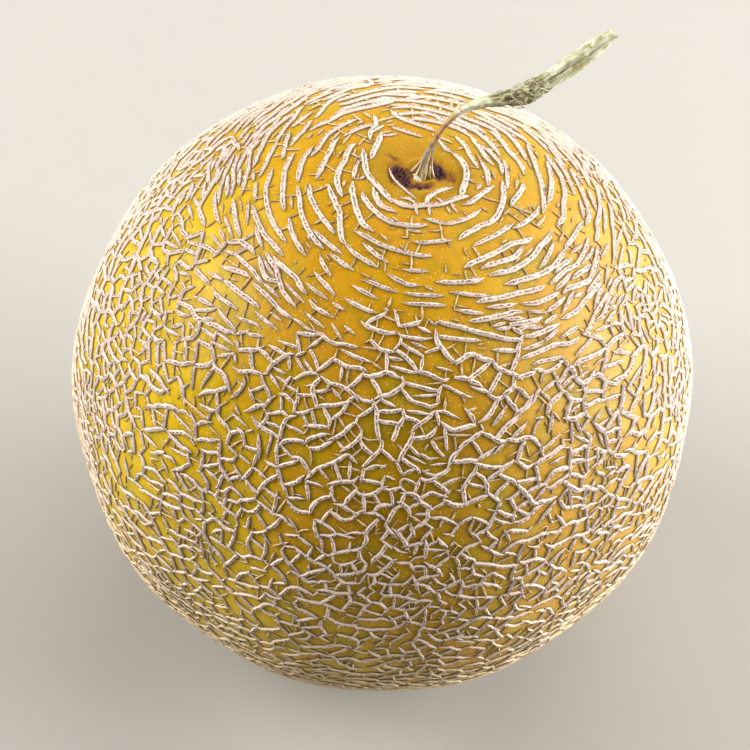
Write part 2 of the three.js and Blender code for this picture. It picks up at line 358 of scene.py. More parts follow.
    def wall_ahead(self, polar, azimuth, angle, own):
        """Whether a crack that could be met squarely lies just ahead of a tip."""
        hx, hy, hz = self.way_of(polar, azimuth, angle)
        for away, dx, dy, dz, row in self.near(direction_at(polar, azimuth), self.CELL, own):
            if dx * hx + dy * hy + dz * hz > 0.85 * away:
                if abs(hx * row[6] + hy * row[7] + hz * row[8]) < 0.75:
                    return True
        return False

    def run_tip(self, start, heading, length, number, wanders, clear, lengthwise, parent=-1):
        """Runs a tip on from a start. Returns its places and whether it met another crack."""
        draw = self.draw
        polar, azimuth = start
        rows = []
        gone = 0.0
        kink_at = draw.uniform(1.6, 4.0)
        aim = angle = heading
        backwards = math.cos(heading - (math.pi / 2 if lengthwise else 0)) < 0
        reaches = parent >= 0 or draw.random() < 0.75
        while gone < length or (
            reaches and gone < length + self.EXTRA and self.wall_ahead(polar, azimuth, angle, number)
        ):
            if gone > kink_at:
                kink_at = gone + draw.uniform(2.0, 4.6)
                aim = angle + draw.gauss(0, 0.3)
                if wanders:
                    fresh = self.heading(polar, azimuth, lengthwise) + (math.pi if backwards else 0)
                    if abs(turn_between(fresh, angle)) < 1.0:
                        aim = fresh
            angle += min(max(turn_between(aim, angle), -self.SHARPEST), self.SHARPEST)
            shaky = angle + draw.gauss(0, 0.03)
            polar += math.sin(shaky) * self.STEP / self.radius
            azimuth += math.cos(shaky) * self.STEP / (self.radius * math.sin(polar))
            gone += self.STEP
            if self.bare(polar, azimuth):
                return rows, False
            hx, hy, hz = self.way_of(polar, azimuth, angle)
            for away, dx, dy, dz, row in self.near(direction_at(polar, azimuth), clear + 0.5, number):
                if row[3] == parent and gone < 1.5:
                    continue
                if away < self.TOUCH:
                    rows.append((row[4], row[5]))
                    return rows, True
                ahead = (dx * hx + dy * hy + dz * hz) / away
                square = abs(hx * row[6] + hy * row[7] + hz * row[8]) < 0.78
                if not (square and ahead > 0.25) and ahead > -0.35 and away < clear:
                    if ahead > 0.35 and len(rows) > 4 and draw.random() < 0.5:
                        rows.append((row[4], row[5]))
                        return rows, True
                    return rows, False
            rows.append((polar, azimuth))
        return rows, False

    def crack(self, start, heading, lengths, kind, width, wanders, clear, lengthwise=False, parent=-1,
              shortest=1.6):
        """Grows one crack both ways from a start, or one way from the side of its parent."""
        number = len(self.cracks)
        one, met_one = self.run_tip(start, heading, lengths[0], number, wanders, clear, lengthwise,
                                    parent)
        two, met_two = [], True
        if parent < 0:
            two, met_two = self.run_tip(start, heading + math.pi, lengths[1], number, wanders, clear,
                                        lengthwise)
        rows = two[::-1] + [start] + one
        if (len(rows) - 1) * self.STEP < shortest:
            return False
        if kind == "link" and not met_one and self.draw.random() < 0.7:
            return False
        self.keep(rows, kind, width, (met_two, met_one))
        return True

    def keep(self, rows, kind, width, met):
        """Adds a finished crack."""
        for index, (polar, azimuth) in enumerate(rows):
            self.add(polar, azimuth, len(self.cracks), heading_of(rows, index), index)
        width *= self.width * self.stout(*rows[len(rows) // 2])
        self.cracks.append({"rows": rows, "kind": kind, "width": width, "met": met})

    def anywhere(self, nearest=0.0, farthest=math.pi):
        """A random place on the fruit, or between two angles from the stalk."""
        inner, outer = math.cos(nearest), math.cos(farthest)
        polar = math.acos(inner - (inner - outer) * self.draw.random())
        return polar, self.draw.uniform(-math.pi, math.pi)

    def open_cracks(self, tries, within, crowding, mean_length, widths, clear, crossing):
        """Main cracks between two angles from the stalk, where none is near."""
        draw = self.draw
        for _ in range(tries):
            polar, azimuth = self.anywhere(*within)
            if self.bare(polar, azimuth):
                continue
            ring = self.ring_like(polar)
            gap = self.spacing(polar, azimuth) * crowding
            if self.crowded(polar, azimuth, gap, 1.0 + 0.45 * ring):
                continue
            between_lobes = self.suture(polar, azimuth) * ease(0.7, 1.0, polar)
            chance = crossing * (1 - 0.7 * ring) + 0.5 * between_lobes
            lengthwise = draw.random() < chance
            heading = self.heading(polar, azimuth, lengthwise)
            mean = mean_length * (1 + 0.5 * ring) * (1 - 0.55 * self.front(polar, azimuth))
            mean = max(mean, self.LEAST_MEAN)
            if lengthwise:
                mean = min(mean, self.LENGTHWISE_MEAN)
            lengths = [mean * draw.uniform(0.25, 0.8) for _ in range(2)]
            self.crack((polar, azimuth), heading, lengths, "main", draw.uniform(*widths), True, clear,
                       lengthwise, shortest=2.4)

    def thin_links(self, tries, leave, lengths, widths, apart, clear):
        """Thin cracks that leave the side of one crack and link it to the next."""
        draw = self.draw
        roots = {}
        for _ in range(tries):
            number = draw.randrange(len(self.cracks))
            rows = self.cracks[number]["rows"]
            if len(rows) < 7:
                continue
            index = draw.randrange(2, len(rows) - 2)
            polar, azimuth = rows[index]
            ring = self.ring_like(polar)
            if draw.random() < (1 - ring) * 0.75:
                continue
            side = draw.choice((-1, 1))
            if any(abs(index - other) * self.STEP < apart for other in roots.get((number, side), ())):
                continue
            lean = leave + draw.gauss(0, 0.2)
            if draw.random() < 0.5:
                lean = math.pi - lean
            heading = heading_of(rows, index) + side * lean
            if not self.open_ahead(polar, azimuth, heading, number, clear):
                continue
            width = draw.uniform(*widths) * (1 - 0.35 * ring)
            if self.crack((polar, azimuth), heading, (draw.uniform(*lengths), 0), "link", width,
                          False, clear, False, number, 1.3):
                roots.setdefault((number, side), []).append(index)

    def open_ahead(self, polar, azimuth, heading, own, clear):
        """Whether nothing else lies beside the first stretch of a crack that leaves another one."""
        reach = (clear + 0.35) / self.radius
        way = self.way_of(polar, azimuth, heading)
        ahead = [value + reach * way[n] for n, value in enumerate(direction_at(polar, azimuth))]
        return all(found[4][3] == own for found in self.near(ahead, clear))

    def flecks(self, tries):
        """Short cracks by themselves, in what is left open."""
        draw = self.draw
        for _ in range(tries):
            polar, azimuth = self.anywhere()
            if self.bare(polar, azimuth):
                continue
            small = draw.random() < 0.45
            if self.near(direction_at(polar, azimuth), 0.75 if small else 1.15):
                continue
            heading = self.heading(polar, azimuth, draw.random() < 0.4)
            length = draw.uniform(0.3, 0.6) if small else draw.uniform(0.6, 1.7)
            width = draw.uniform(0.26, 0.4) if small else draw.uniform(0.42, 0.72)
            self.crack((polar, azimuth), heading, (length, length), "fleck", width, False, 0.5,
                       shortest=0.8)

    def meshed(self, polar, azimuth):
        """Whether a place belongs to the part of the net with closed meshes."""
        uneven = self.edge.at(direction_at(polar, azimuth))
        front = max(-math.sin(azimuth), 0) ** 6
        return self.radius * polar > 51 - 17 * front + 5 * uneven and not self.bare(polar, azimuth)

    def scatter(self, tries):
        """The middles of the net's meshes, wider apart round the fruit than along it."""
        cells, middles = {}, []
        for _ in range(tries):
            polar, azimuth = self.anywhere()
            p = direction_at(polar, azimuth)
            suture = self.suture(polar, azimuth)
            tall = 2.1 * self.scale * (1 + 0.14 * self.dense.at(p)) * (1 - 0.05 * suture) * (
                1 + 0.2 * ease(1.6, 2.3, polar))
            wide = 2.1 + 1.1 * (1 - ease(0.5, 1.15, polar)) + 0.3 * ease(2.2, 2.7, polar) - 0.9 * suture
            if not self.crowded(polar, azimuth, tall, wide, cells):
                place = [value * self.radius for value in p]
                key = tuple(int(value // self.WIDE_CELL) for value in place)
                cells.setdefault(key, []).append(place)
                middles.append(p)
        return np.array(middles)

    def mesh_borders(self):
        """The borders of the meshes as pairs of corners, thinned out, and the corners' places."""
        draw = self.draw
        middles = self.scatter(60000)
        triangles = ball_triangles(middles)
        corners = cell_corners(middles, triangles)
        shift = np.zeros_like(middles)
        shared = np.zeros(len(middles))
        for side in range(3):
            np.add.at(shift, triangles[:, side], corners)
            np.add.at(shared, triangles[:, side], 1)
        middles = unit(middles + 0.8 * shift / shared[:, None])
        triangles = ball_triangles(middles)
        corners = cell_corners(middles, triangles)
        pairs = {}
        for number, triangle in enumerate(triangles.tolist()):
            for side in range(3):
                pairs.setdefault(tuple(sorted((triangle[side], triangle[side - 1]))), []).append(number)
        polar = np.arccos(np.clip(corners[:, 2], -1, 1))
        azimuth = np.arctan2(corners[:, 1], corners[:, 0])
        inside = [self.meshed(a, b) for a, b in zip(polar.tolist(), azimuth.tolist())]
        borders = [both for both in pairs.values()
                   if len(both) == 2 and inside[both[0]] and inside[both[1]]]
        draw.shuffle(borders)
        degree = {}
        for one, two in borders:
            degree[one] = degree.get(one, 0) + 1
            degree[two] = degree.get(two, 0) + 1
        kept = []
        for one, two in borders:
            way = (corners[two] - corners[one]) * self.radius
            length = float(np.linalg.norm(way))
            _, south = frame_at(polar[one], azimuth[one])
            lengthwise = abs(float(way @ np.array(south))) / length
            free = 1 - self.suture(polar[one], azimuth[one])
            chance = 0.08 + 0.26 * free * lengthwise ** 2
            if length < 1.0:
                chance = 0.5
            fewest = 3 if draw.random() < 0.9 else 2
            if min(degree[one], degree[two]) >= fewest and draw.random() < chance:
                degree[one] -= 1
                degree[two] -= 1
            else:
                kept.append((one, two))
        return kept, corners

    def net_of_meshes(self):
        """Joins the meshes' borders into long bending ridges that meet in forks."""
        draw = self.draw
        borders, corners = self.mesh_borders()
        links = {}
        for number, (one, two) in enumerate(borders):
            links.setdefault(one, []).append((number, two))
            links.setdefault(two, []).append((number, one))
        partner = {}
        smoothed = corners.copy()
        for corner, around in links.items():
            ways = [unit(corners[other] - corners[corner]) for _, other in around]
            place = corners[corner]
            polar, azimuth = math.acos(place[2]), math.atan2(place[1], place[0])
            _, south = frame_at(polar, azimuth)
            free = 1 - 0.8 * self.suture(polar, azimuth)
            steep = [abs(float(way @ np.array(south))) * free for way in ways]
            best = None
            for i in range(len(ways)):
                for j in range(i):
                    bend = float(ways[i] @ ways[j])
                    score = bend + 0.55 * (steep[i] + steep[j])
                    if bend < -0.25 and (best is None or score < best[0]):
                        best = (score, i, j)
            if best:
                i, j = best[1:]
                partner[(corner, around[i][0])] = around[j]
                partner[(corner, around[j][0])] = around[i]
                between = (corners[around[i][1]] + corners[around[j][1]]) / 2
                smoothed[corner] = unit(0.52 * corners[corner] + 0.48 * between)
        wobbles = [Waves(draw, 8, 3.0, 9.0, self.radius) for _ in range(3)]
        used = set()
        for number, (one, two) in enumerate(borders):
            if number in used:
                continue
            used.add(number)
            limit = draw.uniform(3.2, 9.0)
            chain, ends = [one, two], [number, number]
            length = float(np.linalg.norm(corners[two] - corners[one])) * self.radius
            for end in (1, 0):
                while length < limit:
                    here = chain[-1] if end else chain[0]
                    following = partner.get((here, ends[end]))
                    if following is None or following[0] in used:
                        break
                    way = unit(smoothed[here] - smoothed[chain[0] if end else chain[-1]])
                    if float(way @ unit(smoothed[following[1]] - smoothed[here])) < 0.72:
                        break
                    used.add(following[0])
                    ends[end] = following[0]
                    length += float(np.linalg.norm(corners[following[1]] - corners[here])) * self.radius
                    chain.insert(len(chain) if end else 0, following[1])
            self.lay_ridge(smoothed[chain], [len(links[chain[0]]), len(links[chain[-1]])],
                           [(chain[0], ends[0]) in partner, (chain[-1], ends[1]) in partner],
                           [chain[0] % 2, chain[-1] % 2], wobbles)

    def lay_ridge(self, corners, degrees, passes, hands, wobbles):
        """Makes one ridge of the net along corners. Two in a row may overlap side by side."""
        draw = self.draw
        line = evenly(spline_through(corners * self.radius, 8), self.STEP)
        met = []
        for end in (0, 1):
            joined = degrees[end] > 1
            chance = draw.random()
            if len(line) > 5 and joined:
                way = unit(line[-1] - line[-4]) if end else unit(line[0] - line[3])
                tip = line[-1] if end else line[0]
                steps = 0
                if passes[end] and chance < 0.62:
                    aside = np.cross(unit(tip), way) * (1 if hands[end] else -1)
                    ramp = np.clip(1 - np.arange(len(line)) / 6, 0, 1)[:, None] ** 1.5
                    line = line + (ramp[::-1] if end else ramp) * aside * draw.uniform(0.35, 0.6)
                    tip = line[-1] if end else line[0]
                    steps = draw.randrange(1, 4)
                    joined = False
                elif not passes[end] and chance < 0.13:
                    steps = draw.randrange(1, 4)
                    joined = False
                elif chance > 0.87:
                    short = draw.randrange(2, 4)
                    line = line[:-short] if end else line[short:]
                    joined = False
                if steps:
                    spur = [tip + way * self.STEP * number for number in range(1, steps + 1)]
                    line = np.vstack([line, spur]) if end else np.vstack([spur[::-1], line])
            met.append(joined)
        way = unit(line)
        line = line + 0.17 * np.stack([wave.over(way) for wave in wobbles], axis=1)
        way = unit(line)
        rows = angles_of(way)
        length = len(rows) * self.STEP
        if length < 3.6 and draw.random() < 0.25:
            self.keep(rows, "link", draw.uniform(0.36, 0.55), tuple(met))
        else:
            widths = (0.5, 0.74) if length < 3.0 else (0.64, 0.88) if length < 5 else (0.8, 1.0)
            self.keep(rows, "main", draw.uniform(*widths), tuple(met))

    def crown_ridges(self):
        """The ridges next to the stalk."""
        for width, rows in CROWN_RIDGES:
            polar = np.array([row[0] for row in rows]) / self.radius
            azimuth = np.radians([row[1] for row in rows])
            flat = np.sin(polar)
            ways = np.stack([flat * np.cos(azimuth), flat * np.sin(azimuth), np.cos(polar)], axis=1)
            line = evenly(spline_through(ways * self.radius, 10), self.STEP)
            self.keep(angles_of(unit(line)), "main", width, (False, False))

    def grow(self):
        """Grows the whole net: crown, closed meshes, rings and filling, thin links and flecks."""
        self.crown_ridges()
        self.net_of_meshes()
        for numbers in self.FILLING:
            self.open_cracks(*numbers)
        self.thin_links(9000, 1.5, (0.9, 3.4), (0.34, 0.56), 2.2, 0.7)
        self.flecks(9000)
        return self.cracks


def angles_of(ways):
    """The pairs of polar and azimuth angle of an array of unit vectors."""
    polar = np.arccos(np.clip(ways[:, 2], -1, 1)).tolist()
    return list(zip(polar, np.arctan2(ways[:, 1], ways[:, 0]).tolist()))


def heading_of(rows, index):
    """The heading of a crack at one of its places."""
    before = rows[max(index - 1, 0)]
    after = rows[min(index + 1, len(rows) - 1)]
    east = turn_between(after[1], before[1]) * math.sin(rows[index][0])
    return math.atan2(after[0] - before[0], east)


LINE_STEP = 0.70  # between two points of a swept ridge, in millimetres
TIP = 2.1  # the length over which a free end narrows, in millimetres


def crack_lines(cracks, shape, draw, settings):
    """The cracks as lines of points with a half width and a height at each, in millimetres."""
    lines = []
    for crack in cracks:
        rows = np.array(crack["rows"])
        length = (len(rows) - 1) * Net.STEP
        azimuth = np.unwrap(rows[:, 1])
        count = max(int(round(length / LINE_STEP)), 2) + 1
        along = np.linspace(0, length, count)
        if length > 3:
            along[1], along[-2] = 0.5 * along[1], length - 0.5 * along[1]
        at = along / length * (len(rows) - 1)
        polar = np.interp(at, np.arange(len(rows)), rows[:, 0])
        azimuth = np.interp(at, np.arange(len(rows)), azimuth)
        fade = min(TIP, 0.46 * length)
        width = np.full(count, crack["width"])
        for met, away in zip(crack["met"], (along, length - along)):
            if met:
                width = width * (0.66 + 0.34 * np.clip(away / 1.6, 0, 1))
            else:
                width = width * np.clip(away / fade, 0.05, 1) ** 0.55
        phase = draw.uniform(0, TURN)
        swing = 1 + 0.08 * np.sin(along * 2.1 + phase) + 0.11 * np.sin(along * 4.7 + 2 * phase)
        width = width * swing
        height = settings.ridge_height / MM * (0.35 + 0.65 * width / (settings.ridge_width / 2 / MM))
        lines.append({
            "points": shape.points(polar, azimuth),
            "up": shape.normals(polar, azimuth),
            "half_width": width,
            "ridge_height": height,
            "kind": crack["kind"],
        })
    return lines


# Meshes ------------------------------------------------------------------------------------


def new_object(name, mesh):
    """Links a mesh into the scene as an object at the origin."""
    made = bpy.data.objects.new(name, mesh)
    bpy.context.scene.collection.objects.link(made)
    return made


def drop(made):
    """Removes a helper object and its data."""
    data = made.data
    bpy.data.objects.remove(made)
    if data.users == 0:
        (bpy.data.curves if isinstance(data, bpy.types.Curve) else bpy.data.meshes).remove(data)


def write_attribute(mesh, name, kind, values):
    """Stores numbers or vectors at a mesh's points."""
    attribute = mesh.attributes.new(name, kind, "POINT")
    field = "vector" if kind == "FLOAT_VECTOR" else "value"
    attribute.data.foreach_set(field, np.asarray(values, dtype=np.float32).ravel())


def read_points(mesh):
    """A mesh's points as an array."""
    places = np.empty(len(mesh.vertices) * 3, dtype=np.float32)
    mesh.vertices.foreach_get("co", places)
    return places.reshape(-1, 3).astype(float)


def smooth_faces(mesh):
    """Shades a mesh smoothly."""
    mesh.polygons.foreach_set("use_smooth", np.ones(len(mesh.polygons), dtype=bool))
    mesh.update()


def face_outwards(mesh):
    """Turns the mesh inside out if the volume inside its faces is negative."""
    mesh.calc_loop_triangles()
    corners = np.empty(len(mesh.loop_triangles) * 3, dtype=np.int32)
    mesh.loop_triangles.foreach_get("vertices", corners)
    a, b, c = read_points(mesh)[corners].reshape(-1, 3, 3).transpose(1, 0, 2)
    if np.einsum("ij,ij->i", a, np.cross(b, c)).sum() < 0:
        mesh.flip_normals()


def grid_mesh(name, rings, fields):
    """A closed mesh through rings of points in millimetres, with a middle point at either end.

    A field is a name, its value at each point, and its values at the two middle points."""
    rings = np.asarray(rings) * MM
    count, sides = rings.shape[:2]
    places = rings.reshape(-1, 3).tolist()
    faces = []
    for ring in range(count - 1):
        for side in range(sides):
            beside = (side + 1) % sides
            low, high = ring * sides, (ring + 1) * sides
            faces.append((low + side, low + beside, high + beside, high + side))
    for ring, backwards in ((0, True), (count - 1, False)):
        middle = len(places)
        places.append(rings[ring].mean(axis=0).tolist())
        for side in range(sides):
            one, two = ring * sides + side, ring * sides + (side + 1) % sides
            faces.append((two, one, middle) if backwards else (one, two, middle))
    mesh = bpy.data.meshes.new(name)
    mesh.from_pydata(places, [], faces)
    for label, values, ends in fields:
        write_attribute(mesh, label, "FLOAT", np.append(np.ravel(values), ends))
    face_outwards(mesh)
    smooth_faces(mesh)
    return mesh


# Geometry nodes ----------------------------------------------------------------------------


class Tree:
    """Adds nodes to a node tree: settings first, then values or links of the sockets."""

    def __init__(self, tree):
        self.tree = tree

    def node(self, kind, settings=None, **sockets):
        """One node. A socket is named as in Blender, with _ for a space, or by its index as s0."""
        made = self.tree.nodes.new(kind)
        for key, value in (settings or {}).items():
            setattr(made, key, value)
        for key, value in sockets.items():
            index = int(key[1:]) if key[0] == "s" and key[1:].isdigit() else key.replace("_", " ")
            self.feed(made.inputs[index], value)
        return made

    def feed(self, socket, value):
        """Links a socket to an output, or sets its value."""
        if isinstance(value, Wire):
            value = value.socket
        if isinstance(value, bpy.types.NodeSocket):
            self.tree.links.new(value, socket)
        else:
            socket.default_value = value

    def vector(self, operation, *values):
        """A Vector Math node's result. SCALE takes a vector and a number."""
        made = self.node("ShaderNodeVectorMath", {"operation": operation})
        for number, value in enumerate(values):
            self.feed(made.inputs["Scale" if operation == "SCALE" and number == 1 else number], value)
        return made.outputs["Value" if operation in ("DOT_PRODUCT", "LENGTH") else "Vector"]


class Wire:
    """An output socket that Python's operators work on by adding Math nodes."""

    def __init__(self, tree, socket):
        self.tree = tree
        self.socket = socket

    def math(self, operation, *others):
        """A Math node of this value and others."""
        values = {f"s{number}": value for number, value in enumerate((self, *others))}
        made = self.tree.node("ShaderNodeMath", {"operation": operation}, **values)
        return Wire(self.tree, made.outputs[0])

    def after(self, operation, other):
        """A Math node with the other value first."""
        made = self.tree.node("ShaderNodeMath", {"operation": operation}, s0=other, s1=self)
        return Wire(self.tree, made.outputs[0])

    def __add__(self, other):
        return self.math("ADD", other)

    __radd__ = __add__

    def __sub__(self, other):
        return self.math("SUBTRACT", other)

    def __rsub__(self, other):
        return self.after("SUBTRACT", other)

    def __mul__(self, other):
        return self.math("MULTIPLY", other)

    __rmul__ = __mul__

    def __truediv__(self, other):
        return self.math("DIVIDE", other)

    def __rtruediv__(self, other):
        return self.after("DIVIDE", other)

    def __pow__(self, other):
        return self.math("POWER", other)

    def step(self, low, high):
        """A soft step of this value from 0 at low to 1 at high."""
        made = self.tree.node("ShaderNodeMapRange", {"interpolation_type": "SMOOTHSTEP"}, Value=self)
        made.inputs["From Min"].default_value = low
        made.inputs["From Max"].default_value = high
        return Wire(self.tree, made.outputs["Result"])


class GeometryTree(Tree):
    """A geometry node group with named inputs."""

    def __init__(self, name, inputs):
        super().__init__(bpy.data.node_groups.new(name, "GeometryNodeTree"))
        face = self.tree.interface
        face.new_socket("Geometry", in_out="INPUT", socket_type="NodeSocketGeometry")
        for label, kind, default in inputs:
            socket = face.new_socket(label, in_out="INPUT", socket_type=kind)
            if default is not None:
                socket.default_value = default
        face.new_socket("Geometry", in_out="OUTPUT", socket_type="NodeSocketGeometry")
        self.input = self.tree.nodes.new("NodeGroupInput")

    def given(self, label):
        """A named input of the group."""
        return Wire(self, self.input.outputs[label])

    def named(self, name, kind):
        """A stored attribute by name."""
        made = self.node("GeometryNodeInputNamedAttribute", {"data_type": kind}, Name=name)
        return Wire(self, made.outputs["Attribute"])

    def stored(self, geometry, name, kind, value):
        """Stores a value at the points under a name."""
        made = self.node("GeometryNodeStoreNamedAttribute", {"data_type": kind, "domain": "POINT"},
                         Geometry=geometry, Name=name, Value=value)
        return made.outputs["Geometry"]

    def end(self, geometry):
        """Closes the tree with Realize Instances and Set Material."""
        real = self.node("GeometryNodeRealizeInstances", None, Geometry=geometry)
        painted = self.node("GeometryNodeSetMaterial", None, Geometry=real.outputs["Geometry"],
                            Material=self.given("Material"))
        self.node("NodeGroupOutput", None, Geometry=painted.outputs["Geometry"])
        return self.tree


def sweep_tree():
    """Sweeps a closed section along lines, each point with its own width, height and way up."""
    g = GeometryTree("swept_lines", [
        ("Section", "NodeSocketObject", None),
        ("Edge Roughness", "NodeSocketFloat", 0.2),
        ("Edge Size", "NodeSocketFloat", 0.0009),
        ("Lowest", "NodeSocketFloat", 0.00002),
        ("Material", "NodeSocketMaterial", None),
    ])
    lines = g.node("GeometryNodeMeshToCurve", None, Mesh=g.given("Geometry"))
    curve = lines.outputs["Curve"]
    place = g.node("GeometryNodeInputPosition")
    tangent = g.node("GeometryNodeInputTangent")
    parameter = g.node("GeometryNodeSplineParameter")
    curve = g.stored(curve, "middle", "FLOAT_VECTOR", place.outputs[0])
    curve = g.stored(curve, "way", "FLOAT_VECTOR", tangent.outputs[0])
    curve = g.stored(curve, "along", "FLOAT", parameter.outputs["Length"])
    section = g.node("GeometryNodeObjectInfo", {"transform_space": "ORIGINAL"},
                     Object=g.given("Section"))
    ring = g.stored(section.outputs["Geometry"], "section", "FLOAT_VECTOR", place.outputs[0])
    swept = g.node("GeometryNodeCurveToMesh", None, Curve=curve, Profile_Curve=ring, Fill_Caps=True)
    mesh = swept.outputs["Mesh"]
    parts = g.node("ShaderNodeSeparateXYZ", None, Vector=g.named("section", "FLOAT_VECTOR"))
    up = g.named("up", "FLOAT_VECTOR")
    side = g.vector("NORMALIZE", g.vector("CROSS_PRODUCT", g.named("way", "FLOAT_VECTOR"), up))
    middle = g.named("middle", "FLOAT_VECTOR")
    across = Wire(g, parts.outputs["X"])
    crest = Wire(g, parts.outputs["Y"])
    shifted = g.vector("ADD", middle, g.vector("SCALE", side, across * 0.0006))
    rough = g.node("ShaderNodeTexNoise", {"noise_dimensions": "3D"}, Vector=shifted,
                   Scale=1 / g.given("Edge Size"), Detail=2.0)
    uneven = 1 + (Wire(g, rough.outputs[0]) - 0.5) * 2 * g.given("Edge Roughness")
    reach = across * uneven * g.named("half_width", "FLOAT")
    height = crest * g.named("ridge_height", "FLOAT") * (1 + (uneven - 1) * 0.6)
    outwards = g.vector("ADD", g.vector("SCALE", side, reach), g.vector("SCALE", up, height))
    final = g.node("ShaderNodeSeparateXYZ", None, Vector=g.vector("ADD", middle, outwards))
    lowest = Wire(g, final.outputs["Z"]).math("MAXIMUM", g.given("Lowest"))
    joined = g.node("ShaderNodeCombineXYZ", None, X=final.outputs["X"], Y=final.outputs["Y"], Z=lowest)
    moved = g.node("GeometryNodeSetPosition", None, Geometry=mesh, Position=joined.outputs[0])
    mesh = g.stored(moved.outputs["Geometry"], "across", "FLOAT", across)
    mesh = g.stored(mesh, "crest", "FLOAT", crest)
    smooth = g.node("GeometryNodeSetShadeSmooth", None, Geometry=mesh)
    return g.end(smooth.outputs["Geometry"])


def section_object(name, points):
    """A helper object: a closed flat curve through points, as wide as from -1 to 1."""
    curve = bpy.data.curves.new(name, "CURVE")
    curve.dimensions = "3D"
    spline = curve.splines.new("POLY")
    spline.points.add(len(points) - 1)
    for point, (x, y) in zip(spline.points, points):
        point.co = (x, y, 0, 1)
    spline.use_cyclic_u = True
    return new_object(name, curve)


def line_mesh(name, lines):
    """A mesh of loose lines with the attributes that the sweep reads."""
    places, ups, widths, heights, edges = [], [], [], [], []
    for line in lines:
        first = len(places)
        places.extend((line["points"] * MM).tolist())
        ups.extend(line["up"].tolist())
        widths.extend((line["half_width"] * MM).tolist())
        heights.extend((line["ridge_height"] * MM).tolist())
        edges.extend((index, index + 1) for index in range(first, len(places) - 1))
    mesh = bpy.data.meshes.new(name)
    mesh.from_pydata(places, edges, [])
    write_attribute(mesh, "up", "FLOAT_VECTOR", ups)
    write_attribute(mesh, "half_width", "FLOAT", widths)
    write_attribute(mesh, "ridge_height", "FLOAT", heights)
    return mesh


def swept_piece(name, lines, section, material, roughness=0.2, edge_size=0.0009):
    """Sweeps a section along lines and keeps the result as a plain mesh."""
    tree = bpy.data.node_groups.get("swept_lines") or sweep_tree()
    source = new_object(name + "_lines", line_mesh(name + "_lines", lines))
    modifier = source.modifiers.new("sweep", "NODES")
    modifier.node_group = tree
    values = {"Section": section, "Edge Roughness": roughness, "Edge Size": edge_size,
              "Material": material}
    for item in tree.interface.items_tree:
        if item.in_out == "INPUT" and item.name in values:
            modifier[item.identifier] = values[item.name]
    evaluated = source.evaluated_get(bpy.context.evaluated_depsgraph_get())
    mesh = bpy.data.meshes.new_from_object(evaluated)
    mesh.name = name
    source.modifiers.clear()
    drop(source)
    for spare in ("up", "half_width", "ridge_height", "middle", "way", "section"):
        if spare in mesh.attributes:
            mesh.attributes.remove(mesh.attributes[spare])
    face_outwards(mesh)
    smooth_faces(mesh)
    return new_object(name, mesh)


# Materials ---------------------------------------------------------------------------------


class Paint(Tree):
    """A material's nodes, ending in one Principled shader."""

    def __init__(self, name, **constants):
        self.material = bpy.data.materials.new(name)
        self.material.use_nodes = True
        super().__init__(self.material.node_tree)
        self.tree.nodes.clear()
        self.shader = self.node("ShaderNodeBsdfPrincipled")
        for key, value in constants.items():
            self.shader.inputs[key.replace("_", " ")].default_value = value
        self.node("ShaderNodeOutputMaterial", None, Surface=self.shader.outputs[0])
        self.place = self.node("ShaderNodeTexCoord").outputs["Object"]

    def value(self, name):
        """A stored number at the surface."""
        return Wire(self, self.node("ShaderNodeAttribute", {"attribute_name": name}).outputs["Fac"])

    def noise(self, size, detail=3.0, rough=0.55, place=None, warp=0.0):
        """Noise with patches of about a size in metres, near 0.5."""
        made = self.node("ShaderNodeTexNoise", {"noise_dimensions": "3D"}, Vector=place or self.place,
                         Scale=1 / size, Detail=detail, Roughness=rough, Distortion=warp)
        return Wire(self, made.outputs[0])

    def specks(self, size):
        """The distance to the nearest of scattered points a size apart, in units of that size."""
        made = self.node("ShaderNodeTexVoronoi", {"feature": "F1"}, Vector=self.place, Scale=1 / size)
        return Wire(self, made.outputs["Distance"])

    def mix(self, share, one, two):
        """Mixes two colours by a share."""
        made = self.node("ShaderNodeMix", {"data_type": "RGBA", "clamp_factor": True})
        self.feed(made.inputs[0], share)
        for index, value in ((6, one), (7, two)):
            plain = not isinstance(value, (Wire, bpy.types.NodeSocket))
            self.feed(made.inputs[index], (*value, 1.0) if plain else value)
        return made.outputs[2]

    def colour(self, socket):
        """Sets what feeds Base Color."""
        self.tree.links.new(socket, self.shader.inputs["Base Color"])

    def roughness(self, wire):
        """Sets what feeds Roughness."""
        self.tree.links.new(wire.socket, self.shader.inputs["Roughness"])

    def bump(self, wire, distance, strength=1.0):
        """Adds a bump of a height in metres."""
        made = self.node("ShaderNodeBump", None, Height=wire, Distance=distance, Strength=strength)
        self.tree.links.new(made.outputs[0], self.shader.inputs["Normal"])


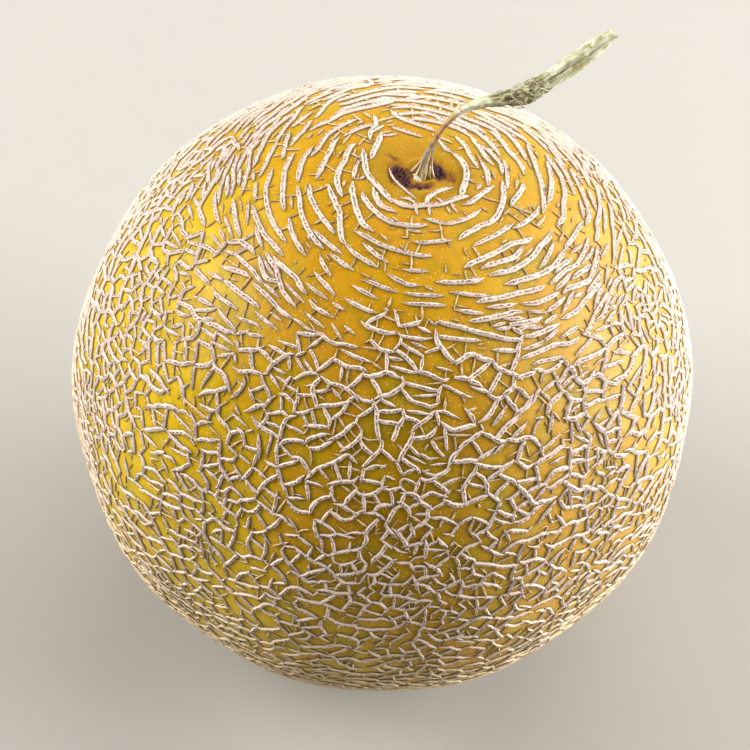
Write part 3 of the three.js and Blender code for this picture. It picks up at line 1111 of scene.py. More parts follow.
def rind_material(settings):
    """Waxy golden skin, yellower to the left and paler to the right, where a sheen is painted in, green
    beside the net, where the olive is also painted shade, and browner low down, partly painted shade.
    """
    p = Paint("golden_rind", IOR=1.45, Specular_IOR_Level=0.11, Sheen_Weight=0.09, Sheen_Roughness=0.5,
              Sheen_Tint=(1.0, 0.93, 0.78, 1.0))
    cloudy = p.noise(0.022, 4.0, 0.6)
    patchy = p.noise(0.006, 4.0, 0.6, warp=0.6)
    colour = p.mix((cloudy * 0.6 + patchy * 0.4).step(0.36, 0.62), settings.gold, settings.amber)
    lemon = p.noise(0.045, 2.0, 0.5)
    split = p.node("ShaderNodeSeparateXYZ", None, Vector=p.place)
    x, y, z = (Wire(p, split.outputs[name]) for name in "XYZ")
    left = (x * -1.0 - (z - 0.11) * 0.5).step(-0.025, 0.06)
    yellow = (left * 0.75 + (lemon - 0.5) * 0.9).step(0.1, 0.9)
    colour = p.mix(yellow * 0.85, colour, settings.lemon)
    # Browner and darker towards the bottom: a browner tint that also paints in the shade low on the
    # fruit.
    low = 1 - z.step(0.02, 0.085)
    colour = p.mix(low * (1 - left) * 0.5, colour, settings.ochre)
    blotchy = p.noise(0.008, 2.0, 0.5, warp=0.4)
    brown = (blotchy - 0.5).step(0.02, 0.16) * (1 - left * 0.4)
    colour = p.mix(brown * 0.55, colour, settings.ochre)
    colour = p.mix((0.5 - blotchy).step(0.03, 0.17) * 0.45, colour, settings.leaf)
    # Painted sheen: the right side is mixed towards pale where the window light glances off the waxy
    # skin.
    right = (x + (z - 0.07) * 0.25).step(0.015, 0.085)
    colour = p.mix(right * 0.3, colour, settings.pale)
    green = p.value("green")
    near = p.value("net_near")
    crowd = p.value("crowd")
    ragged = p.noise(0.0011, 3.0, 0.65)
    disc = 1 - p.value("from_stalk").step(7.5, 14.0)
    colour = p.mix(disc * 0.85, colour, settings.honey)
    mottle = (patchy * 0.6 + ragged * 0.4 + disc * 0.03).step(0.46, 0.66) * (disc * 0.45 + 0.1)
    colour = p.mix(mottle, colour, settings.leaf)
    # Partly painted shade: the dark olive beside the ridges and where they crowd stands for a greenish
    # skin tint and for the shade of the raised net.
    olive_and_shade_halo = (near * 0.9 + (ragged - 0.5) * 0.5 + crowd * 0.12 - disc * 0.4).step(0.40, 1.2)
    colour = p.mix(olive_and_shade_halo * 0.62, colour, settings.olive_and_shade)
    leafy = (green * 0.4 + crowd * 0.4 + (patchy - 0.5) * 1.4).step(0.3, 1.3)
    colour = p.mix(leafy * 0.25, colour, settings.leaf)
    flat = p.vector("NORMALIZE", p.vector("MULTIPLY", p.place, (1.0, 1.0, 0.0)))
    height = p.node("ShaderNodeCombineXYZ", None, Z=z * 9.0)
    lengthwise = p.vector("ADD", p.vector("SCALE", flat, 1.0), height.outputs[0])
    streak = p.noise(1 / 190.0, 3.0, 0.7, place=lengthwise)
    colour = p.mix((streak - 0.5).step(0.02, 0.22) * 0.25, colour, settings.straw)
    colour = p.mix((0.5 - streak).step(0.03, 0.24) * 0.35, colour, settings.umber)
    dots = p.specks(0.0008)
    where = p.noise(0.003, 2.0, 0.5)
    dotted = (1 - dots.step(0.12, 0.26)) * (where + near * 0.45 + green * 0.1).step(0.52, 0.78)
    colour = p.mix(dotted * 0.8, colour, settings.pale)
    dark = p.value("crack")
    scorched = (dark + (ragged - 0.5) * 0.6).step(0.3, 0.75)
    out = (x ** 2 + y ** 2) ** 0.5
    under = 1 - z.step(0.004, 0.012)
    rested = under * (1 - (out + (patchy - 0.5) * 0.01).step(0.009, 0.016))
    colour = p.mix(rested * 0.6, colour, settings.pale)
    scar = under * (1 - (out + (ragged - 0.5) * 0.003).step(0.0032, 0.0042))
    colour = p.mix(scar * 0.85, colour, settings.rust)
    colour = p.mix((dark + (patchy - 0.5) * 0.3).step(0.02, 0.4) * 0.75, colour, settings.rust)
    colour = p.mix(scorched, colour, p.mix(ragged.step(0.44, 0.62), settings.plum, settings.bark))
    p.colour(colour)
    p.roughness(0.25 + 0.12 * patchy + 0.12 * olive_and_shade_halo + 0.35 * disc)
    relief = streak * 0.35 + ragged * 0.25 + patchy * 0.5 + dotted * 0.5 + scorched * ragged * 3.0
    p.bump(relief, 0.00012)
    return p.material


def cork_material(settings, name, light, dark):
    """Pale dry cork: a dark dotted line along each crest, and lower flanks darkened by a stain and by
    painted shade at the ridges' foot.
    """
    p = Paint(name, IOR=1.4, Specular_IOR_Level=0.25)
    across = p.value("across").math("ABSOLUTE")
    crest = p.value("crest")
    fine = p.noise(0.00035, 3.0, 0.7)
    medium = p.noise(0.0022, 3.0, 0.6)
    broad = p.noise(0.014, 2.0, 0.5)
    pink = (1 - across.step(0.3, 0.8)) * 0.55 + medium * 0.5
    colour = p.mix(pink.step(0.1, 0.8), light, dark)
    colour = p.mix(broad.step(0.42, 0.62) * 0.35, colour, settings.cork_grey)
    split = p.node("ShaderNodeSeparateXYZ", None, Vector=p.place)
    low = 1 - Wire(p, split.outputs["Z"]).step(0.03, 0.10)
    colour = p.mix(low * 0.8, colour, settings.cork_straw)
    dots = p.specks(0.0005)
    line = (1 - across.step(0.2, 0.46)) * (1 - (dots + (medium - 0.5) * 0.5).step(0.40, 0.56))
    colour = p.mix(line * 0.9, colour, settings.cork_line)
    pores = (1 - fine.step(0.28, 0.38)) * 0.5
    colour = p.mix(pores, colour, settings.cork_line)
    # Stain and painted shade: the lower flanks are darkened where the ridge meets the skin.
    flank = 1 - (crest + (fine - 0.5) * 0.4).step(0.05, 0.55)
    colour = p.mix(flank * 0.75, colour, settings.cork_stain_and_shade)
    p.colour(colour)
    p.roughness(0.78 + 0.15 * fine)
    p.bump(fine * 0.6 - line * 0.9 + medium * 0.4, 0.00012)
    return p.material


def stalk_material(settings):
    """Dry stalk: tan at the foot, brown at the neck, then grey-green with rusty patches."""
    p = Paint("dried_stalk", IOR=1.4, Specular_IOR_Level=0.3)
    along = p.value("along_share")
    hollow = p.value("hollow")
    fibre = p.value("fibre")
    fine = p.noise(0.0004, 3.0, 0.7)
    medium = p.noise(0.0024, 4.0, 0.6, warp=0.5)
    upper = p.mix(medium.step(0.40, 0.60), settings.straw_green, settings.straw_pale)
    broad = p.noise(0.005, 2.0)
    upper = p.mix((medium * 0.5 + broad * 0.5).step(0.52, 0.6) * 0.7, upper, settings.straw_olive)
    neck = p.mix(medium.step(0.4, 0.6), settings.bark_tan, settings.bark)
    foot = p.mix(medium.step(0.42, 0.56), settings.bark_tan, settings.straw_gold)
    colour = p.mix((along + (medium - 0.5) * 0.08).step(0.10, 0.2), foot, neck)
    colour = p.mix((along + (medium - 0.5) * 0.10).step(0.32, 0.42), colour, upper)
    colour = p.mix(hollow * 0.85, colour, settings.straw_shade)
    colour = p.mix((fibre + (fine - 0.5) * 0.6).step(0.5, 1.1) * 0.5, colour, settings.straw_pale)
    ragged = along.step(0.50, 0.56) * (1 - along.step(0.68, 0.76))
    torn = p.noise(0.0013, 3.0, 0.6, warp=0.5).step(0.44, 0.54)
    colour = p.mix(torn * ragged * 0.85, colour, settings.straw_shade)
    colour = p.mix(fibre.step(1.3, 2.2) * 0.9, colour, settings.bleached)
    rust = p.noise(0.0016, 2.0, 0.5)
    colour = p.mix(rust.step(0.6, 0.68) * 0.6, colour, settings.rust)
    p.colour(colour)
    p.roughness(0.7 + 0.2 * fine)
    p.bump(fine * 0.8 + medium * 0.8, 0.00025)
    return p.material


def floor_material(settings):
    """Plain pale floor."""
    p = Paint("floor", Specular_IOR_Level=0.2)
    grain = p.noise(0.012, 3.0)
    darker = tuple(value * 0.94 for value in settings.floor_colour)
    p.colour(p.mix(grain * 0.25, settings.floor_colour, darker))
    p.roughness(0.75 + 0.1 * grain)
    return p.material


# Settings ----------------------------------------------------------------------------------


def length_setting(name, words, default):
    """A length that a user can change."""
    return bpy.props.FloatProperty(name=name, description=words, default=default, unit="LENGTH",
                                   precision=5)


def colour_setting(name, words, default):
    """A colour that a user can change."""
    return bpy.props.FloatVectorProperty(name=name, description=words, default=default, subtype="COLOR",
                                         size=3, min=0.0, max=1.0)


class MelonRindSettings(bpy.types.PropertyGroup):
    """Sizes and colours of the rind."""

    diameter: length_setting("Diameter", "Width of the fruit without its net", 0.149)
    height: length_setting("Height", "Height of the whole fruit without its net", 0.148)
    flat_spot: length_setting("Flat spot", "Width of the spot that the fruit rests on", 0.029)
    lobes: bpy.props.IntProperty(name="Lobes", description="Faint lengthwise lobes", default=10)
    lobe_depth: length_setting("Lobe depth", "How far the lobes swell", 0.0005)
    lobe_turn: bpy.props.FloatProperty(name="Lobe turn", description="Where the first lobe lies",
                                       default=math.radians(11), subtype="ANGLE")
    basin_radius: length_setting("Basin radius", "Reach of the hollow round the stalk", 0.011)
    basin_depth: length_setting("Basin depth", "Depth of the hollow round the stalk", 0.0014)
    gold: colour_setting("Gold", "Skin in the open meshes", (0.47, 0.275, 0.003))
    amber: colour_setting("Amber", "Warmer patches of the skin", (0.47, 0.22, 0.003))
    lemon: colour_setting("Lemon", "Yellower side of the skin", (0.60, 0.43, 0.004))
    # Ochre also paints in the shade low on the fruit, besides the brown patches.
    ochre: colour_setting("Ochre", "Brown patches, and skin low on the fruit", (0.37, 0.175, 0.002))
    honey: colour_setting("Honey", "Bare skin round the stalk", (0.32, 0.15, 0.002))
    # Olive also paints in the shade beside the raised ridges.
    olive_and_shade: colour_setting("Olive", "Skin beside the ridges", (0.13, 0.088, 0.002))
    leaf: colour_setting("Leaf", "Greener bands between the lobes", (0.27, 0.225, 0.003))
    # Pale also paints the sheen on the right side, besides the corky dots and the flat spot.
    pale: colour_setting("Pale", "Corky dots, and the paler right side", (0.72, 0.55, 0.22))
    straw: colour_setting("Straw", "Lighter streaks", (0.58, 0.38, 0.012))
    umber: colour_setting("Umber", "Darker streaks", (0.27, 0.12, 0.005))
    plum: colour_setting("Plum", "Dry crack round the stalk", (0.052, 0.018, 0.034))
    bark: colour_setting("Bark", "Lighter spots in the crack", (0.115, 0.042, 0.022))
    rust: colour_setting("Rust", "Scorched skin and the blossom scar", (0.27, 0.10, 0.02))


class MelonNetSettings(bpy.types.PropertyGroup):
    """Sizes and colours of the corky net."""

    seed: bpy.props.IntProperty(name="Seed", description="Which net grows", default=4117)
    mesh_scale: bpy.props.FloatProperty(name="Mesh scale", description="How open the net is",
                                        default=1.0, min=0.8, max=2.0)
    ridge_width: length_setting("Ridge width", "Width of the broadest ridges", 0.00104)
    ridge_height: length_setting("Ridge height", "Height of the broadest ridges", 0.00062)
    cork_cream: colour_setting("Cream", "Cork along the edges of the ridges", (0.82, 0.71, 0.55))
    cork_rose: colour_setting("Rose", "Pinker cork along their middle", (0.66, 0.52, 0.49))
    cork_grey: colour_setting("Grey", "Greyer cork", (0.66, 0.58, 0.54))
    cork_straw: colour_setting("Straw", "Yellower cork low on the fruit", (0.68, 0.53, 0.29))
    link_cream: colour_setting("Link cream", "Thin links", (0.82, 0.66, 0.42))
    link_ochre: colour_setting("Link ochre", "Yellower stretches of thin links", (0.70, 0.48, 0.20))
    cork_line: colour_setting("Line", "Dotted line along the crests", (0.13, 0.085, 0.085))
    # A stain together with painted shade at the ridges' foot.
    cork_stain_and_shade: colour_setting("Stain", "Foot of the ridges", (0.10, 0.065, 0.012))


class MelonStalkSettings(bpy.types.PropertyGroup):
    """Sizes and colours of the dry stalk."""

    seed: bpy.props.IntProperty(name="Seed", description="Which folds and fibres form", default=77)
    fibres: bpy.props.IntProperty(name="Fibres", description="Strands at the foot", default=19)
    bark: colour_setting("Bark", "Brown neck", (0.24, 0.13, 0.06))
    bark_tan: colour_setting("Tan", "Lighter bark", (0.47, 0.31, 0.15))
    straw_gold: colour_setting("Gold", "Strands of the foot", (0.74, 0.60, 0.34))
    straw_green: colour_setting("Green", "Dry green skin", (0.42, 0.44, 0.24))
    straw_pale: colour_setting("Pale", "Bleached ribs", (0.70, 0.70, 0.54))
    straw_olive: colour_setting("Olive", "Darker patches", (0.27, 0.27, 0.10))
    straw_shade: colour_setting("Shade", "Hollows of the swelling", (0.15, 0.11, 0.035))
    bleached: colour_setting("Bleached", "Dry piece at the front of the foot", (0.76, 0.78, 0.66))
    rust: colour_setting("Rust", "Rusty spots", (0.36, 0.17, 0.06))


class MelonStageSettings(bpy.types.PropertyGroup):
    """The camera, the lights and the floor."""

    elevation: bpy.props.FloatProperty(name="Elevation", description="Camera's height as an angle",
                                       default=math.radians(50.5), subtype="ANGLE")
    roll: bpy.props.FloatProperty(name="Roll", description="Camera's lean", default=math.radians(10.5),
                                  subtype="ANGLE")
    distance: length_setting("Distance", "From the camera to the middle of the fruit", 0.45)
    lens: bpy.props.FloatProperty(name="Lens", description="Focal length in millimetres", default=87.79)
    floor_colour: colour_setting("Floor", "Plain pale floor", (0.39, 0.38, 0.365))
    light: bpy.props.FloatProperty(name="Light", description="Strength of the lamps", default=1.0)


# The pieces --------------------------------------------------------------------------------


def grown_cracks(context):
    """The net's lines, grown once and kept for the other pieces."""
    if not grown_cracks.kept:
        shape = Shape(context.scene.melon_rind)
        settings = context.scene.melon_net
        net = Net(settings, shape)
        cracks = net.grow()
        lines = crack_lines(cracks, shape, random.Random(settings.seed + 1), settings)
        grown_cracks.kept = (shape, net, lines)
    return grown_cracks.kept


grown_cracks.kept = None


# The dark patches of the dry ring round the stalk: angle and half width in degrees, distance and
# reach in millimetres, and strength.
DARK_PATCHES = [(212, 46, 5.1, 1.8, 1.0), (22, 48, 3.9, 1.4, 1.0), (272, 44, 4.4, 0.8, 0.8),
                (0, 16, 6.2, 0.9, 0.5), (158, 5, 7.2, 2.0, 0.5), (206, 34, 7.2, 0.4, 0.45)]


def stalk_ring(away, azimuth, draw):
    """The dry ring round the stalk: its height in millimetres and its darkness at each place."""
    dark = np.zeros(len(away))
    places = np.stack([away * np.cos(azimuth), away * np.sin(azimuth), np.zeros(len(away))], axis=1)
    shaky = Waves(draw, 9, 2.0, 6.0, 1.0).over(places)
    for middle, wide, radius, reach, strength in DARK_PATCHES:
        turn = np.abs((np.degrees(azimuth) - middle + 180) % 360 - 180) / wide
        across = np.abs(away - radius + 0.35 * shaky * min(reach, 1)) / reach
        dark = np.maximum(dark, strength * np.exp(-turn ** 4 - across ** 2.4))
    crumbs = Waves(draw, 14, 0.6, 1.8, 1.0).over(places)
    socket = 1 - smooth_step(1.8, 3.6, away)
    lip = np.exp(-(((away - 6.6 - 0.3 * shaky) / 0.9) ** 2)) * 0.22
    inner = np.exp(-(((away - 3.3) / 0.7) ** 2)) * 0.35
    height = lip + inner - 0.9 * socket - dark * (0.75 + 0.24 * crumbs)
    return height * (1 - smooth_step(8.2, 9.6, away)), dark


class MELON_OT_rind(bpy.types.Operator):
    """Build the rind with its hollows, its flat spot and the dry ring round the stalk"""

    bl_idname = "melon.rind"
    bl_label = "Rind"

    FINE = 0.17  # between the mesh's rings next to the stalk, in millimetres
    COARSE = 1.2  # between its other rings
    SIDES = 340  # its points round the fruit

    def execute(self, context):
        settings = context.scene.melon_rind
        shape, net, lines = grown_cracks(context)
        longest = math.pi * shape.radius
        away = [self.FINE * number for number in range(1, 60)]
        while away[-1] < 15.5:
            away.append(away[-1] + min(self.FINE + 0.14 * (away[-1] - 10.0), 1.1))
        rest = 1 + int((longest - away[-1]) / self.COARSE)
        away.extend(np.linspace(away[-1], longest, rest)[1:-1])
        turns = np.linspace(-math.pi, math.pi, self.SIDES, endpoint=False)
        away, azimuth = np.meshgrid(np.array(away), turns, indexing="ij")
        rings, sides = away.shape
        away, azimuth = away.ravel(), azimuth.ravel()
        lift, dark = stalk_ring(away, azimuth, random.Random(settings.lobes))
        polar = away / shape.radius
        places = shape.points(polar, azimuth)
        finder = net_finder(lines)
        near, hollow = beside_net(finder, places)
        crowd = crowding(finder[0], places.reshape(rings, sides, 3)).ravel()
        places = shape.points(polar, azimuth, lift - 0.08 * hollow)
        green = np.array([net.suture(a, b) for a, b in zip(polar.tolist(), azimuth.tolist())])
        none = [0.0, 0.0]
        mesh = grid_mesh("rind", places.reshape(rings, sides, 3), [
            ("green", green, none), ("net_near", near, none), ("crowd", crowd, none),
            ("crack", dark, none), ("from_stalk", away, [0.0, longest]),
        ])
        mesh.materials.append(rind_material(settings))
        made = new_object("rind", mesh)
        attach(made, "root")
        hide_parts("netted_fruit")
        return {"FINISHED"}


def net_finder(lines):
    """A search tree over the net's middle lines, with the half width at each point."""
    points = np.concatenate([line["points"] for line in lines])
    widths = np.concatenate([line["half_width"] for line in lines])
    tree = KDTree(len(points))
    for index, point in enumerate(points.tolist()):
        tree.insert(point, index)
    tree.balance()
    return tree, widths


def crowding(tree, places):
    """How closely the ridges stand round each place of a grid, looked up at every fourth row."""
    reach, step = 3.2, 4
    coarse = places[::step, ::step].tolist()
    found = np.array([[len(tree.find_range(place, reach)) for place in row] for row in coarse], float)
    rows = np.minimum(np.arange(places.shape[0]) / step, found.shape[0] - 1.001)
    turns = np.arange(places.shape[1]) / step
    i, j = rows.astype(int), turns.astype(int) % found.shape[1]
    a, b = (rows - i)[:, None], (turns - turns.astype(int))[None, :]
    beside = (j + 1) % found.shape[1]
    low = found[i][:, j] * (1 - b) + found[i][:, beside] * b
    high = found[i + 1][:, j] * (1 - b) + found[i + 1][:, beside] * b
    return smooth_step(16, 34, low * (1 - a) + high * a)


def beside_net(finder, places):
    """How near the ridges' edges each place is, and how far the skin sinks there."""
    tree, widths = finder
    away = np.empty(len(places))
    for number, place in enumerate(places.tolist()):
        _, index, distance = tree.find(place)
        away[number] = distance - widths[index]
    away = np.maximum(away, 0)
    return np.exp(-away / 0.85), np.exp(-((away / 0.8) ** 2))


# The sections of a broad and a thin ridge: across in half widths, and up in heights.
RIDGE_SECTION = [(-1.22, -0.25), (-0.84, 0.42), (-0.4, 0.96), (0.4, 0.96), (0.84, 0.42),
                 (1.22, -0.25)]
LINK_SECTION = [(-1.25, -0.25), (-0.7, 0.55), (0.0, 0.95), (0.7, 0.55), (1.25, -0.25)]


class MELON_OT_net(bpy.types.Operator):
    """Grow the corky net over the rind"""

    bl_idname = "melon.net"
    bl_label = "Net"

    EDGE_ROUGHNESS = 0.36  # how far the ridges' edges are eaten away, as a share of the half width
    EDGE_SIZE = 0.0006  # the size of the bites, in metres

    def execute(self, context):
        settings = context.scene.melon_net
        shape, _, lines = grown_cracks(context)
        material = cork_material(settings, "cork", settings.cork_cream, settings.cork_rose)
        broad = section_object("ridge_section", RIDGE_SECTION)
        thin = section_object("link_section", LINK_SECTION)
        pale = cork_material(settings, "thin_cork", settings.link_cream, settings.link_ochre)
        mains = [line for line in lines if line["kind"] == "main"]
        mains.sort(key=lambda line: -line["points"][:, 2].mean())
        steps = np.cumsum([len(line["points"]) for line in mains])
        quarters = [steps[-1] * share / 4 for share in (1, 2, 3)]
        cuts = [0, *np.searchsorted(steps, quarters), len(mains)]
        names = ("net_crown", "net_shoulder", "net_flank", "net_base")
        groups = [(name, mains[first:last], broad, material)
                  for name, first, last in zip(names, cuts, cuts[1:])]
        for name, above in (("net_links", True), ("net_low_links", False)):
            group = [line for line in lines
                     if line["kind"] != "main" and (line["points"][0, 2] > shape.middle) == above]
            groups.append((name, group, thin, pale))
        for name, group, section, paint in groups:
            piece = swept_piece(name, group, section, paint, self.EDGE_ROUGHNESS, self.EDGE_SIZE)
            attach(piece, "root")
        drop(broad)
        drop(thin)
        return {"FINISHED"}


# The stalk's middle line and half width, in millimetres.
STALK_ROUTE = [
    (0, 0, 142.1, 0.8), (0, 0, 145.6, 0.8), (0.3, 0, 149.2, 0.68), (1.3, -0.1, 154.2, 0.62),
    (3.1, -0.6, 160.4, 0.72), (5.9, 0.8, 164.1, 1.0), (9.3, 1.6, 166.1, 1.3), (13.1, 2.3, 167.8, 1.65),
    (17.0, 3.1, 169.1, 1.9), (21.6, 5.5, 171.5, 1.6), (27.0, 9.2, 175.0, 1.75), (31.3, 12.7, 178.0, 1.6),
    (33.7, 14.7, 179.6, 1.15),
]


def carried_frames(points):
    """Side and up vectors along a line, turned as little as can be."""
    ways = np.gradient(points, axis=0)
    ways /= np.linalg.norm(ways, axis=1, keepdims=True)
    side = np.array([1.0, 0.0, 0.0])
    sides, ups = [], []
    for way in ways:
        side = side - way * (side @ way)
        side /= np.linalg.norm(side)
        sides.append(side)
        ups.append(np.cross(way, side))
    return ways, np.array(sides), np.array(ups)


class MELON_OT_stalk(bpy.types.Operator):
    """Build the dry stalk with its fibrous foot, its ragged swelling and its torn end"""

    bl_idname = "melon.stalk"
    bl_label = "Stalk"

    RINGS = 260  # the mesh's rings along the stalk
    SIDES = 44  # its points round it
    CRINKLES = 14  # the waves that its crinkles are added up from

    def execute(self, context):
        settings = context.scene.melon_stalk
        draw = random.Random(settings.seed)
        material = stalk_material(settings)
        count, sides = self.RINGS, self.SIDES
        rows = evenly(spline_through(STALK_ROUTE, 24), count=count)
        points, width = rows[:, :3], rows[:, 3]
        ways, side_ways, up_ways = carried_frames(points)
        share = np.linspace(0, 1, count)
        swelling = np.exp(-(((share - 0.62) / 0.085) ** 2))
        upper = smooth_step(0.42, 0.55, share)
        angles = np.linspace(0, TURN, sides, endpoint=False)
        angle, step = np.meshgrid(angles, np.arange(count))
        s, up_part, swell = share[step], upper[step], swelling[step]
        turned = angle - 2.6 * s - 0.25 * np.sin(9 * s)
        creases = 0.05 * np.cos(11 * turned + 3 * np.sin(7 * s))
        ribs = 0.10 * np.abs(np.cos(2.5 * turned)) ** 0.6 + creases
        flat = 0.20 * np.cos(2 * (turned - 0.6)) * smooth_step(0.1, 0.3, s)
        crinkle = np.zeros_like(s)
        for _ in range(self.CRINKLES):
            a, b, c = draw.randint(1, 9), draw.uniform(20, 150), draw.uniform(0, TURN)
            crinkle += np.sin(a * turned + b * s + c) / self.CRINKLES ** 0.5
        furrow = -0.5 * np.exp(-((np.mod(turned - 1.1 + math.pi, TURN) - math.pi) / 0.42) ** 2) * up_part
        relief = 0.90 + (ribs - 0.04) * (0.4 + 0.9 * up_part) + flat + 0.8 * furrow * (0.5 + swell)
        radius = width[step] * relief
        radius += crinkle * (0.04 + 0.09 * up_part + 0.60 * swell) * 0.75
        radius = np.maximum(radius, 0.25 * width[step])
        radius[-1] *= 0.6
        rings = (points[step] + side_ways[step] * (radius * np.cos(angle))[..., None]
                 + up_ways[step] * (radius * np.sin(angle))[..., None])
        deep = np.clip((0.86 - radius / width[step]) * 2.2, 0, 1)
        mesh = grid_mesh("stalk", rings, [
            ("along_share", s, [0.0, 1.0]), ("hollow", deep, [0.5, 0.5]),
            ("fibre", (ribs - 0.04) * 6, [0.5, 0.5]),
        ])
        mesh.materials.append(material)
        stalk = new_object("stalk", mesh)
        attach(stalk, "root")
        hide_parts("dry_stalk")
        self.fibres(settings, draw, material, points, width, side_ways, up_ways, ways)
        return {"FINISHED"}

    def fibres(self, settings, draw, material, points, width, side_ways, up_ways, ways):
        """Loose strands: splayed at the foot, hanging at the swelling and torn at the end."""
        lines = []
        count = len(points)

        def keep(rows, up, half_width, ridge_height):
            lines.append({"points": rows, "up": up, "half_width": half_width,
                          "ridge_height": ridge_height, "kind": "fibre"})

        def strand(first, last, turn, off, drift, thick, hang=0.0):
            steps = np.linspace(first, last, 16)
            rows = []
            for number, place in enumerate(steps):
                index = int(min(max(place, 0), count - 1))
                part = number / 15
                angle = turn + drift * part + 0.25 * math.sin(5 * part + turn)
                far = width[index] * 0.93 + off * (0.4 + math.sin(math.pi * part) * 0.6)
                middle = points[index] + ways[index] * max(place - (count - 1), 0) * 0.17
                outer = middle + side_ways[index] * far * math.cos(angle)
                outer = outer + up_ways[index] * far * math.sin(angle)
                rows.append(outer - np.array([0, 0, hang * part ** 2]))
            rows = np.array(rows)
            taper = np.clip(np.minimum(np.linspace(0, 6, 16), np.linspace(6, 0, 16)), 0.25, 1)
            normals = np.tile(np.array([0.31, 0.22, 0.92]), (16, 1))
            keep(rows, normals, thick * taper, thick * taper)

        # From the neck down to the foot, where they splay
        for number in range(settings.fibres):
            turn = TURN * (number + draw.uniform(-0.3, 0.3)) / settings.fibres
            reach, top = draw.uniform(1.7, 3.5), draw.uniform(148.5, 156.5)
            if math.cos(turn + 1.9) > 0.5:
                reach = draw.uniform(0.9, 1.4)
            thick, drift = draw.uniform(0.14, 0.38), draw.uniform(-0.5, 0.5)
            part = np.linspace(0, 1, 18)
            height = top + (143.0 - top) * part
            middle = np.stack([np.interp(height, points[:, 2], points[:, n]) for n in (0, 1)], axis=1)
            far = 0.6 + (reach - 0.6) * part ** 1.8 + 0.14 * part * np.sin(9 * part + turn * 5)
            around = turn + drift * part + 0.2 * np.sin(6 * part + turn * 3)
            rows = np.column_stack([middle[:, 0] + far * np.cos(around),
                                    middle[:, 1] + far * np.sin(around), height])
            taper = np.clip(0.25 + part * 1.4, 0.25, 1) * (1 + 0.2 * np.sin(11 * part + turn))
            up = np.column_stack([np.cos(around), np.sin(around), np.full(18, 0.35)])
            keep(rows, unit(up), thick * taper, 0.8 * thick * taper)
        # The bleached bunch in front of the foot
        for number in range(7):
            across = np.linspace(-1, 1, 8)
            rows = np.column_stack([
                -0.6 + 1.1 * across + draw.uniform(-0.2, 0.2),
                -2.3 - 0.3 * across + 0.2 * number,
                143.6 + 0.16 * number - 0.4 * across + 0.3 * (1 - across ** 2),
            ])
            bulge = draw.uniform(0.22, 0.4) * (1 - 0.7 * across ** 2)
            keep(rows, np.tile([0.0, -0.5, 0.87], (8, 1)), bulge, bulge)
        # Along the swelling
        for _ in range(46):
            start = draw.uniform(140, 174)
            strand(start, start + draw.uniform(8, 26), draw.uniform(0, TURN), draw.uniform(0.1, 0.9),
                   draw.uniform(-1.4, 1.4), draw.uniform(0.05, 0.12), draw.uniform(0.0, 2.2))
        # At the torn end
        for _ in range(16):
            strand(draw.uniform(236, 248), count + draw.uniform(1, 6), draw.uniform(0, TURN),
                   draw.uniform(-0.5, 0.0), draw.uniform(-0.3, 0.3), draw.uniform(0.06, 0.12))
        ring = [(math.cos(TURN * n / 6), math.sin(TURN * n / 6)) for n in range(6)]
        section = section_object("strand_section", ring)
        piece = swept_piece("stalk_fibres", lines, section, material, 0.1)
        drop(section)
        mesh = piece.data
        share = np.clip((read_points(mesh)[:, 2] / MM - 142) / 38, 0, 1)
        write_attribute(mesh, "along_share", "FLOAT", share)
        write_attribute(mesh, "hollow", "FLOAT", np.zeros(len(share)))
        bleached = np.array([-0.6, -2.1, 144.0])
        away = np.linalg.norm(read_points(mesh) / MM - bleached, axis=1)
        write_attribute(mesh, "fibre", "FLOAT", 0.9 + 1.6 * np.exp(-((away / 1.6) ** 4)))
        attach(piece, "root")


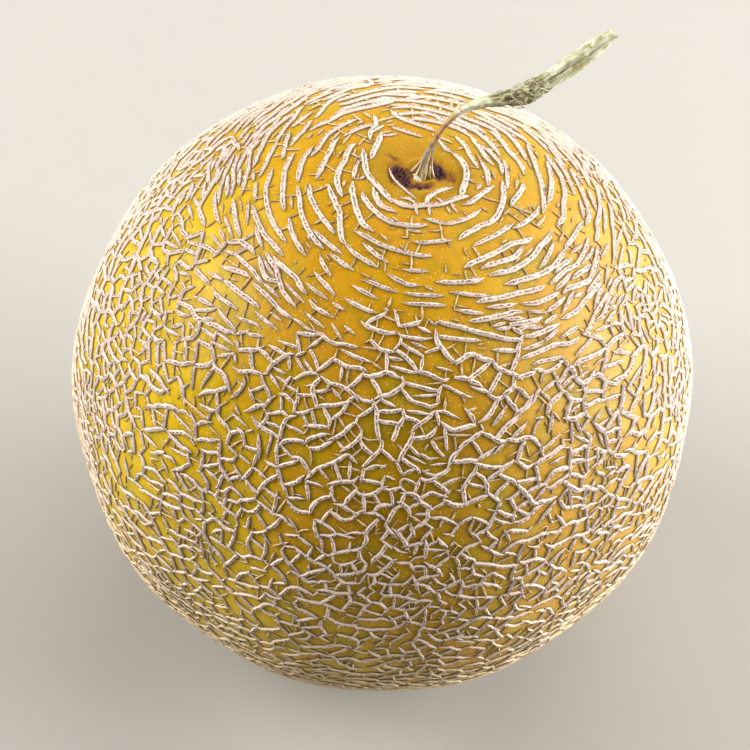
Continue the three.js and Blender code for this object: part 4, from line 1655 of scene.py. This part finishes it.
class MELON_OT_stage(bpy.types.Operator):
    """Set the floor, the soft lamps and the camera"""

    bl_idname = "melon.stage"
    bl_label = "Stage"

    SENSOR = 36  # the camera sensor's width in millimetres

    def execute(self, context):
        settings = context.scene.melon_stage
        scene = context.scene
        mesh = bpy.data.meshes.new("floor")
        reach = 3.0
        corners = [(-reach, -reach, 0), (reach, -reach, 0), (reach, reach, 0), (-reach, reach, 0)]
        mesh.from_pydata(corners, [], [(0, 1, 2, 3)])
        floor = new_object("floor", mesh)
        floor.data.materials.append(floor_material(settings))
        world = bpy.data.worlds.new("soft_room")
        world.use_nodes = True
        back = world.node_tree.nodes["Background"]
        back.inputs["Color"].default_value = (0.97, 0.92, 0.84, 1)
        back.inputs["Strength"].default_value = 0.17 * settings.light
        scene.world = world
        scene.view_settings.view_transform = "Standard"
        lamps = [  # name, place, size, power and colour
            ("window_right", (1.22, 0.34, 0.40), 1.3, 59.0, (1.0, 0.97, 0.92)),
            ("window_left", (-1.30, 0.05, 0.76), 1.0, 37.0, (1.0, 0.97, 0.92)),
            ("skylight", (0.10, 0.80, 1.35), 1.1, 11.0, (1.0, 0.96, 0.90)),
            ("front_fill", (-0.30, -0.85, 1.45), 0.9, 3.0, (1.0, 0.96, 0.90)),
        ]
        for name, place, size, power, tint in lamps:
            lamp = bpy.data.lights.new(name, "AREA")
            lamp.shape = "SQUARE"
            lamp.size = size
            lamp.energy = power * settings.light
            lamp.color = tint
            made = bpy.data.objects.new(name, lamp)
            made.location = place
            made.rotation_euler = (LOOKED_AT - Vector(place)).to_track_quat("-Z", "Y").to_euler()
            scene.collection.objects.link(made)
        self.camera(scene, settings)
        return {"FINISHED"}

    def camera(self, scene, settings):
        """Places the camera so that the fruit's middle falls a little off the image's middle."""
        rise, roll = settings.elevation, settings.roll
        forward = Vector((0, math.cos(rise), -math.sin(rise)))
        level = Vector((1, 0, 0))
        upright = Vector((0, math.sin(rise), math.cos(rise)))
        right = level * math.cos(roll) + upright * math.sin(roll)
        up = upright * math.cos(roll) - level * math.sin(roll)
        eye = LOOKED_AT - forward * settings.distance
        pixels = settings.lens / self.SENSOR * 750  # the focal length in pixels
        view = forward - right * (7.5 / pixels) + up * (8.0 / pixels)  # the middle at (382.5, 383)
        view.normalize()
        right = view.cross(up).normalized()
        up = right.cross(view).normalized()
        data = bpy.data.cameras.new("camera")
        data.lens = settings.lens
        data.sensor_width = self.SENSOR
        data.clip_start = 0.01
        data.clip_end = 20
        made = bpy.data.objects.new("camera", data)
        turn = Matrix((right, up, -view)).transposed().to_4x4()
        made.matrix_world = Matrix.Translation(eye) @ turn
        scene.collection.objects.link(made)
        scene.camera = made


class MELON_PT_panel(bpy.types.Panel):
    """Lists the melon's pieces"""

    bl_label = "Netted melon"
    bl_idname = "MELON_PT_panel"
    bl_space_type = "VIEW_3D"
    bl_region_type = "UI"
    bl_category = "Melon"

    def draw(self, context):
        for operator in OPERATORS:
            self.layout.operator(operator.bl_idname)
        for group in GROUPS:
            settings = getattr(context.scene, group)
            for name in settings.bl_rna.properties.keys():
                if name not in ("rna_type", "name"):
                    self.layout.prop(settings, name)


GROUPS = {
    "melon_rind": MelonRindSettings,
    "melon_net": MelonNetSettings,
    "melon_stalk": MelonStalkSettings,
    "melon_stage": MelonStageSettings,
}
OPERATORS = [MELON_OT_rind, MELON_OT_net, MELON_OT_stalk, MELON_OT_stage]


def register():
    """Registers the settings, the operators and the panel."""
    for name, group in GROUPS.items():
        bpy.utils.register_class(group)
        setattr(bpy.types.Scene, name, bpy.props.PointerProperty(type=group))
    for made in [*OPERATORS, MELON_PT_panel]:
        bpy.utils.register_class(made)


def unregister():
    """Removes what register added."""
    for made in [MELON_PT_panel, *reversed(OPERATORS)]:
        bpy.utils.unregister_class(made)
    for name, group in reversed(GROUPS.items()):
        delattr(bpy.types.Scene, name)
        bpy.utils.unregister_class(group)


def main():
    """Builds every piece in order."""
    register()
    for operator in OPERATORS:
        family, name = operator.bl_idname.split(".")
        getattr(getattr(bpy.ops, family), name)()
    bpy.context.view_layer.update()


if __name__ == "__main__":
    main()
